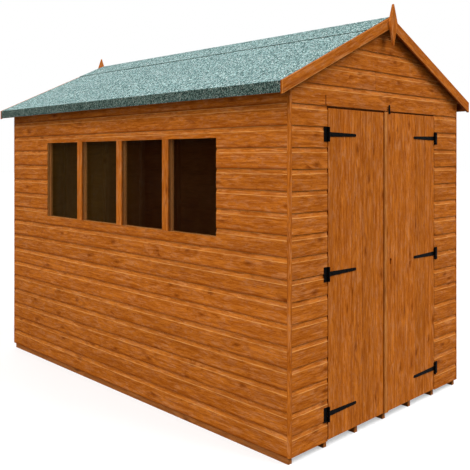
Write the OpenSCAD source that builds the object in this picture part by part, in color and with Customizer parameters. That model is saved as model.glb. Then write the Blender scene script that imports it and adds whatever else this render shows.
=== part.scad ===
// Timber workshop shed: shiplap walls on a joisted floor, a felted apex roof,
// a row of fixed windows down one side and double doors in the gable end.
// Millimetres. The front faces -Y, the windows face -X, and z = 0 is the ground under the joists.

/* [Walls] */
// Width of the shed over the cladding
wall_w = 1770; // [1500:10:2100]
// Length of the shed over the cladding
wall_l = 3025; // [2500:5:3600]
// Height of the side walls, from the foot of the cladding to the underside of the roof
eaves_h = 1948; // [1700:1:2300]
// Height of board that each course shows
board_cover = 113.5; // [108:0.5:116]
// Thickness of the cladding boards
clad_t = 12; // [10:0.5:16]
// Height of the hollow scoop at the top of each board
scoop_h = 26; // [15:1:35]
// Depth of the scoop
scoop_d = 5; // [2:0.5:7]
// Width of the framing timber
frame_w = 44; // [38:1:50]
// Depth of the framing timber through the wall
frame_d = 38; // [22:1:45]
// Reach of the corner bead along each wall
corner_w = 18; // [14:1:26]
// Radius of the corner bead's outer edge
corner_r = 9; // [4:1:12]

/* [Floor] */
// Number of joists
joist_count = 7; // [5:1:9]
// Width of a joist
joist_w = 27; // [22:1:45]
// Depth of a joist
joist_h = 44; // [38:1:70]
// Thickness of the floor boards
floor_t = 12; // [10:0.5:18]
// How far the cladding hangs below the top of the floor
skirt_lap = 17; // [13:1:30]
// Gap between the floor and the back of the cladding at the gable ends
floor_end_gap = 6; // [5:0.5:12]

/* [Roof] */
// Slope of the roof in degrees
pitch = 25; // [18:0.5:32]
// Thickness of the roof boards
roof_t = 12; // [9:0.5:18]
// Thickness of the felt
felt_t = 3; // [2:0.5:4]
// Reach of the eaves past the side walls
eaves_over = 97; // [60:1:140]
// Reach of the roof boards past the gable walls
verge_over = 23; // [15:1:60]
// Height of the eaves board under the roof boards
eaves_board_h = 44; // [30:1:60]
// Thickness of the eaves board
eaves_board_t = 20; // [15:1:30]
// Reach of the ridge felt down each slope, measured level
ridge_reach = 247; // [150:1:320]
// Upright depth of a bargeboard
barge_h = 67; // [62:1:90]
// Thickness of a bargeboard
barge_t = 16; // [12:1:22]
// Height of a finial
finial_h = 254; // [200:1:300]
// Width of a finial at its shoulders
finial_w = 80; // [60:1:110]
// Thickness of a finial
finial_t = 16; // [12:1:22]
// Rise of the finial's shoulders from its foot
finial_shoulder = 143; // [110:1:170]
// How far the finial's tip stands above the bargeboards
finial_rise = 75; // [50:1:110]
// Width of a purlin
purlin_w = 27; // [22:1:45]

/* [Windows] */
// Number of panes in the row
pane_count = 4; // [2:1:5]
// Length of wall left in front of the window row
window_front = 550; // [300:1:700]
// Length of wall left behind the window row
window_back = 557; // [300:1:700]
// Height of the window opening
window_h = 563; // [400:1:650]
// Depth of the window head below the eaves
window_drop = 300; // [150:1:400]
// Width of the cover strip between two panes
bar_w = 60; // [55:1:90]
// Thickness of the glass
glass_t = 3; // [2:0.5:6]
// Side of the square bead that holds the glass
bead_t = 8; // [6:0.5:12]

/* [Doors] */
// Least height of side wall over the door head, which is at a whole course
head_drop = 125; // [100:1:200]
// Width of the doorway
door_w = 1144; // [1000:2:1200]
// Gap round each door leaf
door_gap = 6; // [5:0.5:8]
// Height of the leaves' foot above the foot of the cladding
door_foot = 6; // [5:0.5:9]
// Line where the leaves meet, from the middle of the doorway
meeting_x = -26; // [-40:1:0]
// Thickness of a door ledge
ledge_t = 20; // [16:1:28]
// Width of a door ledge
ledge_w = 70; // [50:1:100]
// Thickness of the stop battens round the doorway
stop_w = 12; // [10:1:16]
// Width of the cover strip on the right leaf
strip_w = 31; // [24:1:34]
// Thickness of the cover strip
strip_t = 10; // [8:1:16]
// Diameter of the keyhole
keyhole_d = 13; // [8:1:16]
// Height of the keyhole above the middle hinge
keyhole_rise = 14; // [-5:1:20]
// Reach of the keyhole's slot below its centre
keyhole_slot = 25; // [15:1:30]
// Width of the slot where it leaves the round hole
keyhole_neck_w = 8; // [5:0.5:9]
// Width of the slot at its foot
keyhole_foot_w = 5; // [3:0.5:7]
// Distance of the keyhole from the leaf's meeting edge
keyhole_in = 72; // [60:1:90]
// Width of the lock case
lock_w = 90; // [80:1:110]
// Height of the lock case
lock_h = 64; // [50:1:70]
// Thickness of the lock case
lock_t = 16; // [12:1:20]

/* [Hinges] */
// Height of the lower hinge above the foot of the cladding
hinge_low = 146; // [120:1:200]
// Depth of the upper hinge below the door head
hinge_drop = 154; // [120:1:200]
// Length of the strap from the pin to its tip
strap_l = 258; // [200:1:300]
// Width of the strap at the pin
strap_w = 26; // [20:1:34]
// Width of the strap at its tip
strap_tip_w = 16; // [10:1:18]
// Height of the wall plate
plate_h = 80; // [74:1:110]
// Width of the wall plate from the pin
plate_w = 36; // [28:1:46]
// Thickness of the hinge metal
hinge_t = 3; // [2:0.5:4]
// Radius of the knuckles
knuckle_r = 6.5; // [5.5:0.5:7]
// Radius of the pin
pin_r = 3; // [2:0.25:3.5]

/* [Turn button] */
// Length of the turn button
button_l = 55; // [45:1:70]
// Width of the turn button
button_w = 13; // [11:1:20]
// Thickness of the turn button
button_t = 4; // [3:0.5:8]
// Stand-off of the turn button from the door
button_gap = 5.5; // [5:0.5:8]
// Depth of the button's pivot below the top of the leaf
button_drop = 6; // [5:0.5:8]
// Distance of the button's pivot from the leaf's meeting edge
button_in = 46; // [46:1:60]
// Radius of the button's pivot screw
screw_r = 2.5; // [2:0.25:3]
// Radius of the screw's head, and of the collar behind the button
screw_head_r = 5; // [4:0.5:6]
// Thickness of the screw's head
screw_head_t = 2; // [1:0.5:3]

/* [Hidden] */
$fn = 48;

// Colours, as the timber stain, felt and ironwork look
stain = [0.65, 0.36, 0.13];
raw_timber = [0.74, 0.58, 0.38];
felt_green = [0.58, 0.69, 0.68];
iron_black = [0.08, 0.08, 0.07];
pane_tint = [0.70, 0.78, 0.80, 0.4];

// Clearances
pin_gap = 0.05;
knuckle_gap = 0.5;
plate_gap = 1.5;
stop_gap = 6;
// Clearance between the turn button and the faces it turns against
seat_gap = 0.3;
// Clearance between sloping faces that bear on each other
bed_gap = 0.05;
// Joint between the head stop and the side stops
stop_joint = 1;
// Spare length of a boolean cut past the face it leaves
cut = 1;

// Half sizes and levels
half_w = wall_w / 2;
half_l = wall_l / 2;
floor_z = joist_h + floor_t;
skirt_z = floor_z - skirt_lap;
eaves_z = skirt_z + eaves_h;
door_courses = floor((eaves_h - head_drop) / board_cover);
head_z = skirt_z + door_courses * board_cover;
wall_t = clad_t + frame_d;
frame_out_x = half_w - clad_t;
frame_in_x = half_w - wall_t;
frame_out_y = half_l - clad_t;
frame_in_y = half_l - wall_t;
rise = tan(pitch);
slant = 1 / cos(pitch);

// Roof lines at a distance x from the ridge
function under_z(x) = eaves_z + (half_w - x) * rise;
function bearing_z(x) = under_z(x) - bed_gap;
function deck_top_z(x) = under_z(x) + roof_t * slant;
function felt_top_z(x) = deck_top_z(x) + felt_t * slant;
function ridge_bed_z(x) = felt_top_z(x) + bed_gap;
roof_edge_x = half_w + eaves_over;
deck_edge_x = roof_edge_x - felt_t;
roof_end_y = half_l + verge_over;
eaves_foot_z = under_z(deck_edge_x) - eaves_board_h;

// Shiplap profile: a flat face with a hollow arc at its top, where the next board laps over it
scoop_steps = 4;
scoop_r = (scoop_h * scoop_h + scoop_d * scoop_d) / (2 * scoop_d);
gable_courses = ceil((under_z(0) - skirt_z) / board_cover);
function course_z(k) = skirt_z + k * board_cover;
function scoop_depth(t) = scoop_d - scoop_r + sqrt(scoop_r * scoop_r - (scoop_h - t) * (scoop_h - t));
function course_points(face, k) = concat(
    [[face, course_z(k)]],
    [for (i = [0 : scoop_steps])
        let (t = i * scoop_h / scoop_steps)
        [face + scoop_depth(t), course_z(k + 1) - scoop_h + t]]
);
function shiplap_points(face, first, last) = concat(
    [for (k = [first : last - 1]) each course_points(face, k)],
    [[face + clad_t, course_z(last)], [face + clad_t, course_z(first)]]
);
function courses_below(z) = ceil((z - skirt_z) / board_cover);
function courses_under(z) = floor((z - skirt_z) / board_cover);

// Window row
window_y0 = -half_l + window_front;
window_y1 = half_l - window_back;
window_z1 = eaves_z - window_drop;
window_z0 = window_z1 - window_h;
pane_w = (window_y1 - window_y0 - (pane_count - 1) * bar_w) / pane_count;
pane_pitch = pane_w + bar_w;
lip = (bar_w - frame_w) / 2;
glass_back_x = frame_in_x + bead_t;

// Doors
leaf_foot_z = skirt_z + door_foot;
leaf_top_z = head_z - door_gap;
leaf_side_x = door_w / 2 - door_gap;
left_leaf_x = meeting_x - door_gap / 2;
right_leaf_x = meeting_x + door_gap / 2;
leaf_back_y = -half_l + clad_t;
stop_y = leaf_back_y + stop_gap;
ledge_end_x = door_w / 2 - stop_w - door_gap;
ledge_set_in = 20;
pin_x = door_w / 2 - door_gap / 2;
pin_y = -half_l - knuckle_r - knuckle_gap;
hinge_low_z = skirt_z + hinge_low;
hinge_top_z = head_z - hinge_drop;
hinge_mid_z = (hinge_low_z + hinge_top_z) / 2;
hinge_levels = [hinge_low_z, hinge_mid_z, hinge_top_z];
keyhole_x = right_leaf_x + keyhole_in;
keyhole_z = hinge_mid_z + keyhole_rise;
button_x = right_leaf_x + button_in;
button_z = leaf_top_z - button_drop;

// Extrudes a child drawn in (x, z) along Y
module along_y(y0, y1) {
    translate([0, y1, 0])
        rotate([90, 0, 0])
            linear_extrude(height = y1 - y0)
                children();
}

// Extrudes a child drawn in (y, z) along X
module along_x(x0, x1) {
    translate([x0, 0, 0])
        rotate([90, 0, 90])
            linear_extrude(height = x1 - x0)
                children();
}

// Box between two corners
module block(low, high) {
    translate(low)
        cube(high - low);
}

// Draws a child on both sides of the ridge
module both_sides() {
    children();
    mirror([1, 0, 0])
        children();
}

// Draws a child at both gable ends
module both_ends() {
    children();
    mirror([0, 1, 0])
        children();
}

// Shiplap on the -X wall between two stations and two levels
module side_shiplap(y0, y1, z0, z1) {
    intersection() {
        along_y(y0, y1)
            polygon(shiplap_points(-half_w, courses_under(z0), courses_below(z1)));
        block([-half_w - cut, y0 - cut, z0], [-half_w + clad_t + cut, y1 + cut, z1]);
    }
}

// Shiplap on the -Y wall between two stations and two levels, cut to the slopes of the roof
module gable_shiplap(x0, x1, z0, z1) {
    reach = max(abs(x0), abs(x1));
    intersection() {
        along_x(x0, x1)
            polygon(shiplap_points(-half_l, courses_under(z0), courses_below(z1)));
        along_y(-half_l - cut, -half_l + clad_t + cut)
            polygon([
                [-reach - cut, z0], [reach + cut, z0], [reach + cut, bearing_z(reach + cut)],
                [0, bearing_z(0)], [-reach - cut, bearing_z(reach + cut)]
            ]);
    }
}

// Upright in a side wall, standing between the bottom and top rails
module side_stud(y, z0, z1) {
    block([-frame_out_x, y - frame_w / 2, z0], [-frame_in_x, y + frame_w / 2, z1]);
}

// Upright in a gable wall
module gable_stud(x, z0, z1) {
    block([x - frame_w / 2, -frame_out_y, z0], [x + frame_w / 2, -frame_in_y, z1]);
}

// Top rail of a side wall, bevelled to carry the roof boards
module side_top_rail() {
    along_y(-frame_out_y, frame_out_y)
        polygon([
            [-frame_out_x, eaves_z - frame_w], [-frame_in_x, eaves_z - frame_w],
            [-frame_in_x, bearing_z(frame_in_x)], [-frame_out_x, bearing_z(frame_out_x)]
        ]);
}

// Bottom rail of a side wall
module side_bottom_rail() {
    block([-frame_out_x, -frame_out_y, floor_z], [-frame_in_x, frame_out_y, floor_z + frame_w]);
}

// Sloping rails under the roof boards at a gable, from the side walls to the king post
module gable_rafters() {
    both_sides()
        along_y(-frame_out_y, -frame_in_y)
            polygon([
                [frame_w / 2, bearing_z(frame_w / 2)], [frame_in_x, bearing_z(frame_in_x)],
                [frame_in_x, bearing_z(frame_in_x) - frame_w * slant],
                [frame_w / 2, bearing_z(frame_w / 2) - frame_w * slant]
            ]);
}

// King post over the head rail, its top cut to the ridge
module king_post() {
    along_y(-frame_out_y, -frame_in_y)
        polygon([
            [-frame_w / 2, head_z + frame_w], [frame_w / 2, head_z + frame_w],
            [frame_w / 2, bearing_z(frame_w / 2)], [0, bearing_z(0)],
            [-frame_w / 2, bearing_z(frame_w / 2)]
        ]);
}

// Rail across a gable wall at door-head level
module gable_head_rail() {
    block([-frame_in_x, -frame_out_y, head_z], [frame_in_x, -frame_in_y, head_z + frame_w]);
}

module floor_joists() {
    span = 2 * frame_out_x - joist_w;
    end_y = frame_out_y - floor_end_gap;
    color(raw_timber)
        for (i = [0 : joist_count - 1]) {
            x = -frame_out_x + i * span / (joist_count - 1);
            block([x, -end_y, 0], [x + joist_w, end_y, joist_h]);
        }
}

module floor_deck() {
    end_y = frame_out_y - floor_end_gap;
    color(raw_timber)
        block([-frame_out_x, -end_y, joist_h], [frame_out_x, end_y, floor_z]);
}

module window_wall_lower() {
    color(stain)
        side_shiplap(-half_l + corner_w, half_l - corner_w, skirt_z, window_z0);
}

module window_wall_upper() {
    color(stain)
        side_shiplap(-half_l + corner_w, half_l - corner_w, window_z1, eaves_z);
}

module window_wall_ends() {
    color(stain) {
        side_shiplap(-half_l + corner_w, window_y0, window_z0, window_z1);
        side_shiplap(window_y1, half_l - corner_w, window_z0, window_z1);
    }
}

module window_wall_studs() {
    low = floor_z + frame_w;
    high = eaves_z - frame_w;
    jamb = lip + frame_w / 2;
    color(raw_timber) {
        for (y = [
            -frame_out_y + frame_w / 2, window_y0 - jamb,
            window_y1 + jamb, frame_out_y - frame_w / 2
        ])
            side_stud(y, low, high);
        for (i = [1 : pane_count - 1]) {
            y = window_y0 + i * pane_pitch - bar_w / 2;
            side_stud(y, low, window_z0 - lip - frame_w);
            side_stud(y, window_z0 - lip, window_z1 + lip);
        }
    }
}

module window_wall_rails() {
    y0 = window_y0 - lip;
    y1 = window_y1 + lip;
    color(raw_timber) {
        side_bottom_rail();
        side_top_rail();
        block([-frame_out_x, y0, window_z0 - lip - frame_w], [-frame_in_x, y1, window_z0 - lip]);
        block([-frame_out_x, y0, window_z1 + lip], [-frame_in_x, y1, window_z1 + lip + frame_w]);
    }
}

module window_cover_strips() {
    color(stain)
        for (i = [1 : pane_count - 1]) {
            y = window_y0 + i * pane_pitch;
            block([-half_w, y - bar_w, window_z0], [-half_w + clad_t, y, window_z1]);
        }
}

module window_panes() {
    color(pane_tint)
        for (i = [0 : pane_count - 1]) {
            y = window_y0 + i * pane_pitch;
            block(
                [-glass_back_x - glass_t, y - lip, window_z0 - lip],
                [-glass_back_x, y + pane_w + lip, window_z1 + lip]
            );
        }
}

module window_beads() {
    color(raw_timber)
        for (i = [0 : pane_count - 1]) {
            y0 = window_y0 + i * pane_pitch - lip;
            y1 = y0 + pane_w + 2 * lip;
            z0 = window_z0 - lip;
            z1 = window_z1 + lip;
            difference() {
                block([-glass_back_x, y0, z0], [-frame_in_x, y1, z1]);
                block(
                    [-glass_back_x - cut, y0 + bead_t, z0 + bead_t],
                    [-frame_in_x + cut, y1 - bead_t, z1 - bead_t]
                );
            }
        }
}

module right_wall() {
    color(stain)
        mirror([1, 0, 0])
            side_shiplap(-half_l + corner_w, half_l - corner_w, skirt_z, eaves_z);
}

module right_wall_studs() {
    bays = 5;
    end_y = frame_out_y - frame_w / 2;
    color(raw_timber)
        mirror([1, 0, 0])
            for (i = [0 : bays])
                side_stud(-end_y + i * 2 * end_y / bays, floor_z + frame_w, eaves_z - frame_w);
}

module right_wall_rails() {
    color(raw_timber)
        mirror([1, 0, 0]) {
            side_bottom_rail();
            side_top_rail();
        }
}

module back_wall() {
    color(stain)
        mirror([0, 1, 0])
            gable_shiplap(-half_w + corner_w, half_w - corner_w, skirt_z, under_z(0));
}

module back_wall_studs() {
    bays = 4;
    end_x = frame_in_x - frame_w / 2;
    color(raw_timber)
        mirror([0, 1, 0]) {
            for (i = [0 : bays])
                gable_stud(-end_x + i * 2 * end_x / bays, floor_z + frame_w, head_z);
            king_post();
        }
}

module back_wall_rails() {
    color(raw_timber)
        mirror([0, 1, 0]) {
            block([-frame_in_x, -frame_out_y, floor_z], [frame_in_x, -frame_in_y, floor_z + frame_w]);
            gable_head_rail();
            gable_rafters();
        }
}

module front_wall_left() {
    color(stain)
        gable_shiplap(-half_w + corner_w, -door_w / 2, skirt_z, head_z);
}

module front_wall_right() {
    color(stain)
        gable_shiplap(door_w / 2, half_w - corner_w, skirt_z, head_z);
}

module front_gable() {
    color(stain)
        gable_shiplap(-half_w + corner_w, half_w - corner_w, head_z, under_z(0));
}

module front_wall_studs() {
    color(raw_timber) {
        both_sides() {
            gable_stud(frame_in_x - frame_w / 2, floor_z + frame_w, head_z);
            gable_stud(door_w / 2 + frame_w / 2, floor_z, head_z);
        }
        king_post();
    }
}

module front_wall_rails() {
    color(raw_timber) {
        both_sides()
            block(
                [door_w / 2 + frame_w, -frame_out_y, floor_z],
                [frame_in_x, -frame_in_y, floor_z + frame_w]
            );
        gable_head_rail();
        gable_rafters();
    }
}

module door_stops() {
    color(raw_timber) {
        both_sides()
            block([door_w / 2 - stop_w, stop_y, floor_z], [door_w / 2, stop_y + ledge_t, head_z]);
        block(
            [-door_w / 2 + stop_w + stop_joint, stop_y, head_z - stop_w],
            [door_w / 2 - stop_w - stop_joint, stop_y + ledge_t, head_z]
        );
    }
}

// Section of a corner bead: an angle with a round outer edge, its corner at the origin
module bead_section() {
    difference() {
        union() {
            translate([corner_r, corner_r])
                circle(r = corner_r);
            translate([corner_r, 0])
                square([corner_w - corner_r, clad_t]);
            translate([0, corner_r])
                square([clad_t, corner_w - corner_r]);
        }
        translate([clad_t, clad_t])
            square(corner_w);
    }
}

module corner_beads() {
    corners = [[-half_w, -half_l], [half_w, -half_l], [half_w, half_l], [-half_w, half_l]];
    color(stain)
        for (i = [0 : 3])
            translate([corners[i].x, corners[i].y, skirt_z])
                rotate(90 * i)
                    linear_extrude(height = eaves_h)
                        bead_section();
}

// Roof boards of the left slope
module roof_slope() {
    along_y(-roof_end_y, roof_end_y)
        polygon([
            [0, under_z(0)], [-deck_edge_x, under_z(deck_edge_x)],
            [-deck_edge_x, deck_top_z(deck_edge_x)], [0, deck_top_z(0)]
        ]);
}

// Felt of the left slope, turned down over the roof edge and the eaves board
module felt_slope() {
    along_y(-roof_end_y, roof_end_y)
        polygon([
            [0, deck_top_z(0)], [-deck_edge_x, deck_top_z(deck_edge_x)], [-deck_edge_x, eaves_foot_z],
            [-roof_edge_x, eaves_foot_z], [-roof_edge_x, felt_top_z(roof_edge_x)], [0, felt_top_z(0)]
        ]);
}

module left_roof() {
    color(raw_timber)
        roof_slope();
}

module right_roof() {
    color(raw_timber)
        mirror([1, 0, 0])
            roof_slope();
}

module purlins() {
    mid_x = frame_in_x / 2;
    ridge_x = frame_w / 2 + purlin_w;
    color(raw_timber)
        both_sides()
            for (x = [ridge_x, mid_x])
                along_y(-frame_in_y, frame_in_y)
                    polygon([
                        [x, bearing_z(x)], [x + purlin_w, bearing_z(x + purlin_w)],
                        [x + purlin_w, bearing_z(x + purlin_w) - frame_w], [x, bearing_z(x) - frame_w]
                    ]);
}

module eaves_boards() {
    x = deck_edge_x - eaves_board_t;
    color(raw_timber)
        both_sides()
            along_y(-roof_end_y, roof_end_y)
                polygon([
                    [x, bearing_z(x)], [deck_edge_x, bearing_z(deck_edge_x)],
                    [deck_edge_x, eaves_foot_z], [x, eaves_foot_z]
                ]);
}

module left_felt() {
    color(felt_green)
        felt_slope();
}

module right_felt() {
    color(felt_green)
        mirror([1, 0, 0])
            felt_slope();
}

module ridge_felt() {
    color(felt_green)
        along_y(-roof_end_y, roof_end_y)
            polygon([
                [-ridge_reach, ridge_bed_z(ridge_reach)], [0, ridge_bed_z(0)],
                [ridge_reach, ridge_bed_z(ridge_reach)],
                [ridge_reach, ridge_bed_z(ridge_reach) + felt_t * slant],
                [0, ridge_bed_z(0) + felt_t * slant],
                [-ridge_reach, ridge_bed_z(ridge_reach) + felt_t * slant]
            ]);
}

// Bargeboard of the front left slope, plumb cut at the ridge and at the eaves
module bargeboard() {
    along_y(-roof_end_y - barge_t, -roof_end_y)
        polygon([
            [0, felt_top_z(0)], [-roof_edge_x, felt_top_z(roof_edge_x)],
            [-roof_edge_x, felt_top_z(roof_edge_x) - barge_h], [0, felt_top_z(0) - barge_h]
        ]);
}

module left_bargeboards() {
    color(stain)
        both_ends()
            bargeboard();
}

module right_bargeboards() {
    color(stain)
        mirror([1, 0, 0])
            both_ends()
                bargeboard();
}

// Kite-shaped finials on the faces of the bargeboards
module finials() {
    tip_z = felt_top_z(0) + finial_rise;
    foot_z = tip_z - finial_h;
    face_y = -roof_end_y - barge_t;
    color(stain)
        both_ends()
            along_y(face_y - finial_t, face_y)
                polygon([
                    [0, foot_z], [finial_w / 2, foot_z + finial_shoulder],
                    [0, tip_z], [-finial_w / 2, foot_z + finial_shoulder]
                ]);
}

// Fixed half of a T hinge on the left of the doorway: wall plate, two knuckles and the pin
module hinge_plate() {
    mid_half = strap_w / 2 + knuckle_gap;
    plate_in = knuckle_r + plate_gap;
    block([-plate_w, -hinge_t, -plate_h / 2], [-plate_in, 0, plate_h / 2]);
    for (z0 = [-plate_h / 2, mid_half]) {
        z1 = z0 + plate_h / 2 - mid_half;
        block([-plate_in, -hinge_t, z0], [0, 0, z1]);
        translate([0, -knuckle_r - knuckle_gap, z0])
            cylinder(r = knuckle_r, h = z1 - z0);
    }
    translate([0, -knuckle_r - knuckle_gap, -plate_h / 2])
        cylinder(r = pin_r, h = plate_h);
}

// Moving half of a T hinge: the tapered strap with its round tip, and the middle knuckle
module hinge_strap() {
    tip_r = strap_tip_w / 2;
    difference() {
        union() {
            along_y(-hinge_t, 0)
                polygon([
                    [0, -strap_w / 2], [strap_l - tip_r, -tip_r],
                    [strap_l - tip_r, tip_r], [0, strap_w / 2]
                ]);
            translate([strap_l - tip_r, 0, 0])
                rotate([90, 0, 0])
                    cylinder(r = tip_r, h = hinge_t);
            translate([0, -knuckle_r - knuckle_gap, -strap_w / 2])
                cylinder(r = knuckle_r, h = strap_w);
        }
        translate([0, -knuckle_r - knuckle_gap, -strap_w / 2 - cut])
            cylinder(r = pin_r + pin_gap, h = strap_w + 2 * cut);
    }
}

// Draws a hinge half at each of the three levels, turned over on the right of the doorway
module at_hinges(side) {
    for (z = hinge_levels)
        translate([side * pin_x, -half_l, z])
            rotate([0, side > 0 ? 180 : 0, 0])
                children();
}

module hinge_plates() {
    color(iron_black)
        for (side = [-1, 1])
            at_hinges(side)
                hinge_plate();
}

module left_hinge_straps() {
    color(iron_black)
        at_hinges(-1)
            hinge_strap();
}

module right_hinge_straps() {
    color(iron_black)
        at_hinges(1)
            hinge_strap();
}

// Three ledges across the back of a leaf, behind the hinges
module ledges(x0, x1) {
    for (z = hinge_levels)
        block([x0, leaf_back_y, z - ledge_w / 2], [x1, leaf_back_y + ledge_t, z + ledge_w / 2]);
}

// Two braces that rise from the hinge side, cut to sit between the ledges
module braces(hinge_x, free_x) {
    foot = sign(free_x - hinge_x) * ledge_w;
    for (i = [0 : 1]) {
        z0 = hinge_levels[i] + ledge_w / 2;
        z1 = hinge_levels[i + 1] - ledge_w / 2;
        along_y(leaf_back_y, leaf_back_y + ledge_t)
            polygon([[hinge_x, z0], [hinge_x + foot, z0], [free_x, z1], [free_x - foot, z1]]);
    }
}

module left_door() {
    color(stain)
        block([-leaf_side_x, -half_l, leaf_foot_z], [left_leaf_x, leaf_back_y, leaf_top_z]);
}

module left_door_ledges() {
    color(raw_timber)
        ledges(-ledge_end_x, left_leaf_x - ledge_set_in);
}

module left_door_braces() {
    color(raw_timber)
        braces(-ledge_end_x, left_leaf_x - ledge_set_in);
}

// Keyhole through the leaf: a round hole over a narrowing slot
module keyhole() {
    along_y(-half_l - cut, leaf_back_y + ledge_t + cut)
        polygon([
            [keyhole_x - keyhole_foot_w / 2, keyhole_z - keyhole_slot],
            [keyhole_x + keyhole_foot_w / 2, keyhole_z - keyhole_slot],
            [keyhole_x + keyhole_neck_w / 2, keyhole_z], [keyhole_x - keyhole_neck_w / 2, keyhole_z]
        ]);
    translate([keyhole_x, leaf_back_y + ledge_t + cut, keyhole_z])
        rotate([90, 0, 0])
            cylinder(d = keyhole_d, h = clad_t + ledge_t + 2 * cut);
}

module right_door() {
    color(stain)
        difference() {
            block([right_leaf_x, -half_l, leaf_foot_z], [leaf_side_x, leaf_back_y, leaf_top_z]);
            keyhole();
            translate([button_x, leaf_back_y + cut, button_z])
                rotate([90, 0, 0])
                    cylinder(r = screw_r + pin_gap, h = clad_t + 2 * cut);
        }
}

module right_door_ledges() {
    color(raw_timber)
        difference() {
            ledges(right_leaf_x + ledge_set_in, ledge_end_x);
            keyhole();
        }
}

module right_door_braces() {
    color(raw_timber)
        braces(ledge_end_x, right_leaf_x + ledge_set_in);
}

module door_cover_strip() {
    color(stain)
        block([right_leaf_x, -half_l - strip_t, leaf_foot_z], [right_leaf_x + strip_w, -half_l, leaf_top_z]);
}

// Lock case behind the keyhole, and the screw that carries the turn button
module right_door_fittings() {
    y = leaf_back_y + ledge_t;
    x = right_leaf_x + ledge_set_in;
    shank_l = clad_t + button_gap + button_t + seat_gap;
    color(iron_black) {
        block([x, y, hinge_mid_z - lock_h / 2], [x + lock_w, y + lock_t, hinge_mid_z + lock_h / 2]);
        translate([button_x, leaf_back_y, button_z])
            rotate([90, 0, 0]) {
                cylinder(r = screw_r, h = shank_l);
                translate([0, 0, shank_l])
                    cylinder(r = screw_head_r, h = screw_head_t);
            }
    }
}

// Turn button upright over the door head: a bar with round ends, bored for its screw, and a collar
module turn_button() {
    end_r = button_w / 2;
    color(iron_black)
        translate([button_x, -half_l, button_z])
            rotate([90, 0, 0])
                difference() {
                    union() {
                        translate([0, 0, button_gap]) {
                            cylinder(r = end_r, h = button_t);
                            translate([0, button_l - button_w, 0])
                                cylinder(r = end_r, h = button_t);
                            translate([-end_r, 0, 0])
                                cube([button_w, button_l - button_w, button_t]);
                        }
                        translate([0, 0, seat_gap])
                            cylinder(r = screw_head_r, h = button_gap - seat_gap);
                    }
                    cylinder(r = screw_r + pin_gap, h = button_gap + button_t + cut);
                }
}

floor_joists();
floor_deck();
window_wall_lower();
window_wall_upper();
window_wall_ends();
window_wall_studs();
window_wall_rails();
window_cover_strips();
window_panes();
window_beads();
right_wall();
right_wall_studs();
right_wall_rails();
back_wall();
back_wall_studs();
back_wall_rails();
front_wall_left();
front_wall_right();
front_gable();
front_wall_studs();
front_wall_rails();
door_stops();
corner_beads();
left_roof();
right_roof();
purlins();
eaves_boards();
left_felt();
right_felt();
ridge_felt();
left_bargeboards();
right_bargeboards();
finials();
hinge_plates();
left_door();
left_door_ledges();
left_door_braces();
left_hinge_straps();
right_door();
right_door_ledges();
right_door_braces();
right_hinge_straps();
door_cover_strip();
right_door_fittings();
turn_button();
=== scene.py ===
"""Looks of a timber workshop shed: shiplap boards, felted roof, glass and black ironwork.

Everything is in metres in the part's own frame: the front faces -Y, the windows face -X and
z = 0 is the ground under the joists.
"""
import logging
import math
import random
from dataclasses import dataclass, field
from enum import Enum
from typing import Any, Iterable, Mapping, Sequence, Union

import bmesh
import bpy
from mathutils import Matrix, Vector, noise
from mathutils.geometry import tessellate_polygon


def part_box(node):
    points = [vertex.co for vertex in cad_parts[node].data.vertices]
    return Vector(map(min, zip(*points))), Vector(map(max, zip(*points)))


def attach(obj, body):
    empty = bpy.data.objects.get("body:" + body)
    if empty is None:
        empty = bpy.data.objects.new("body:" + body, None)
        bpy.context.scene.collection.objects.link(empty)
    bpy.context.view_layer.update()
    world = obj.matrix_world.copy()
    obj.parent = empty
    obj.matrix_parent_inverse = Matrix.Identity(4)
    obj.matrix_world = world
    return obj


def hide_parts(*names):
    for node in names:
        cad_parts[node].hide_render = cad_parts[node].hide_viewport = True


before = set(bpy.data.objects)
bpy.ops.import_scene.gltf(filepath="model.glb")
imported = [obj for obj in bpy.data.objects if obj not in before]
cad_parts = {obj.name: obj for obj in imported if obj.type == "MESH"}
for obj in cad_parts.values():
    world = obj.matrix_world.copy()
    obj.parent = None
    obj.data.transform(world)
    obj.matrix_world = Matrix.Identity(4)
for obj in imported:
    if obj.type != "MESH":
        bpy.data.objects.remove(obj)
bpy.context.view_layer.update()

log = logging.getLogger("shed")

Triple = tuple[float, float, float]
Point = tuple[float, float]
Face = tuple[int, ...]
Operand = Union["Value", float, Sequence[float]]

MM = 0.001
ACROSS, BACK, UP = Vector((1, 0, 0)), Vector((0, 1, 0)), Vector((0, 0, 1))
BLACK, WHITE = (0.0, 0.0, 0.0), (1.0, 1.0, 1.0)


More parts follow.
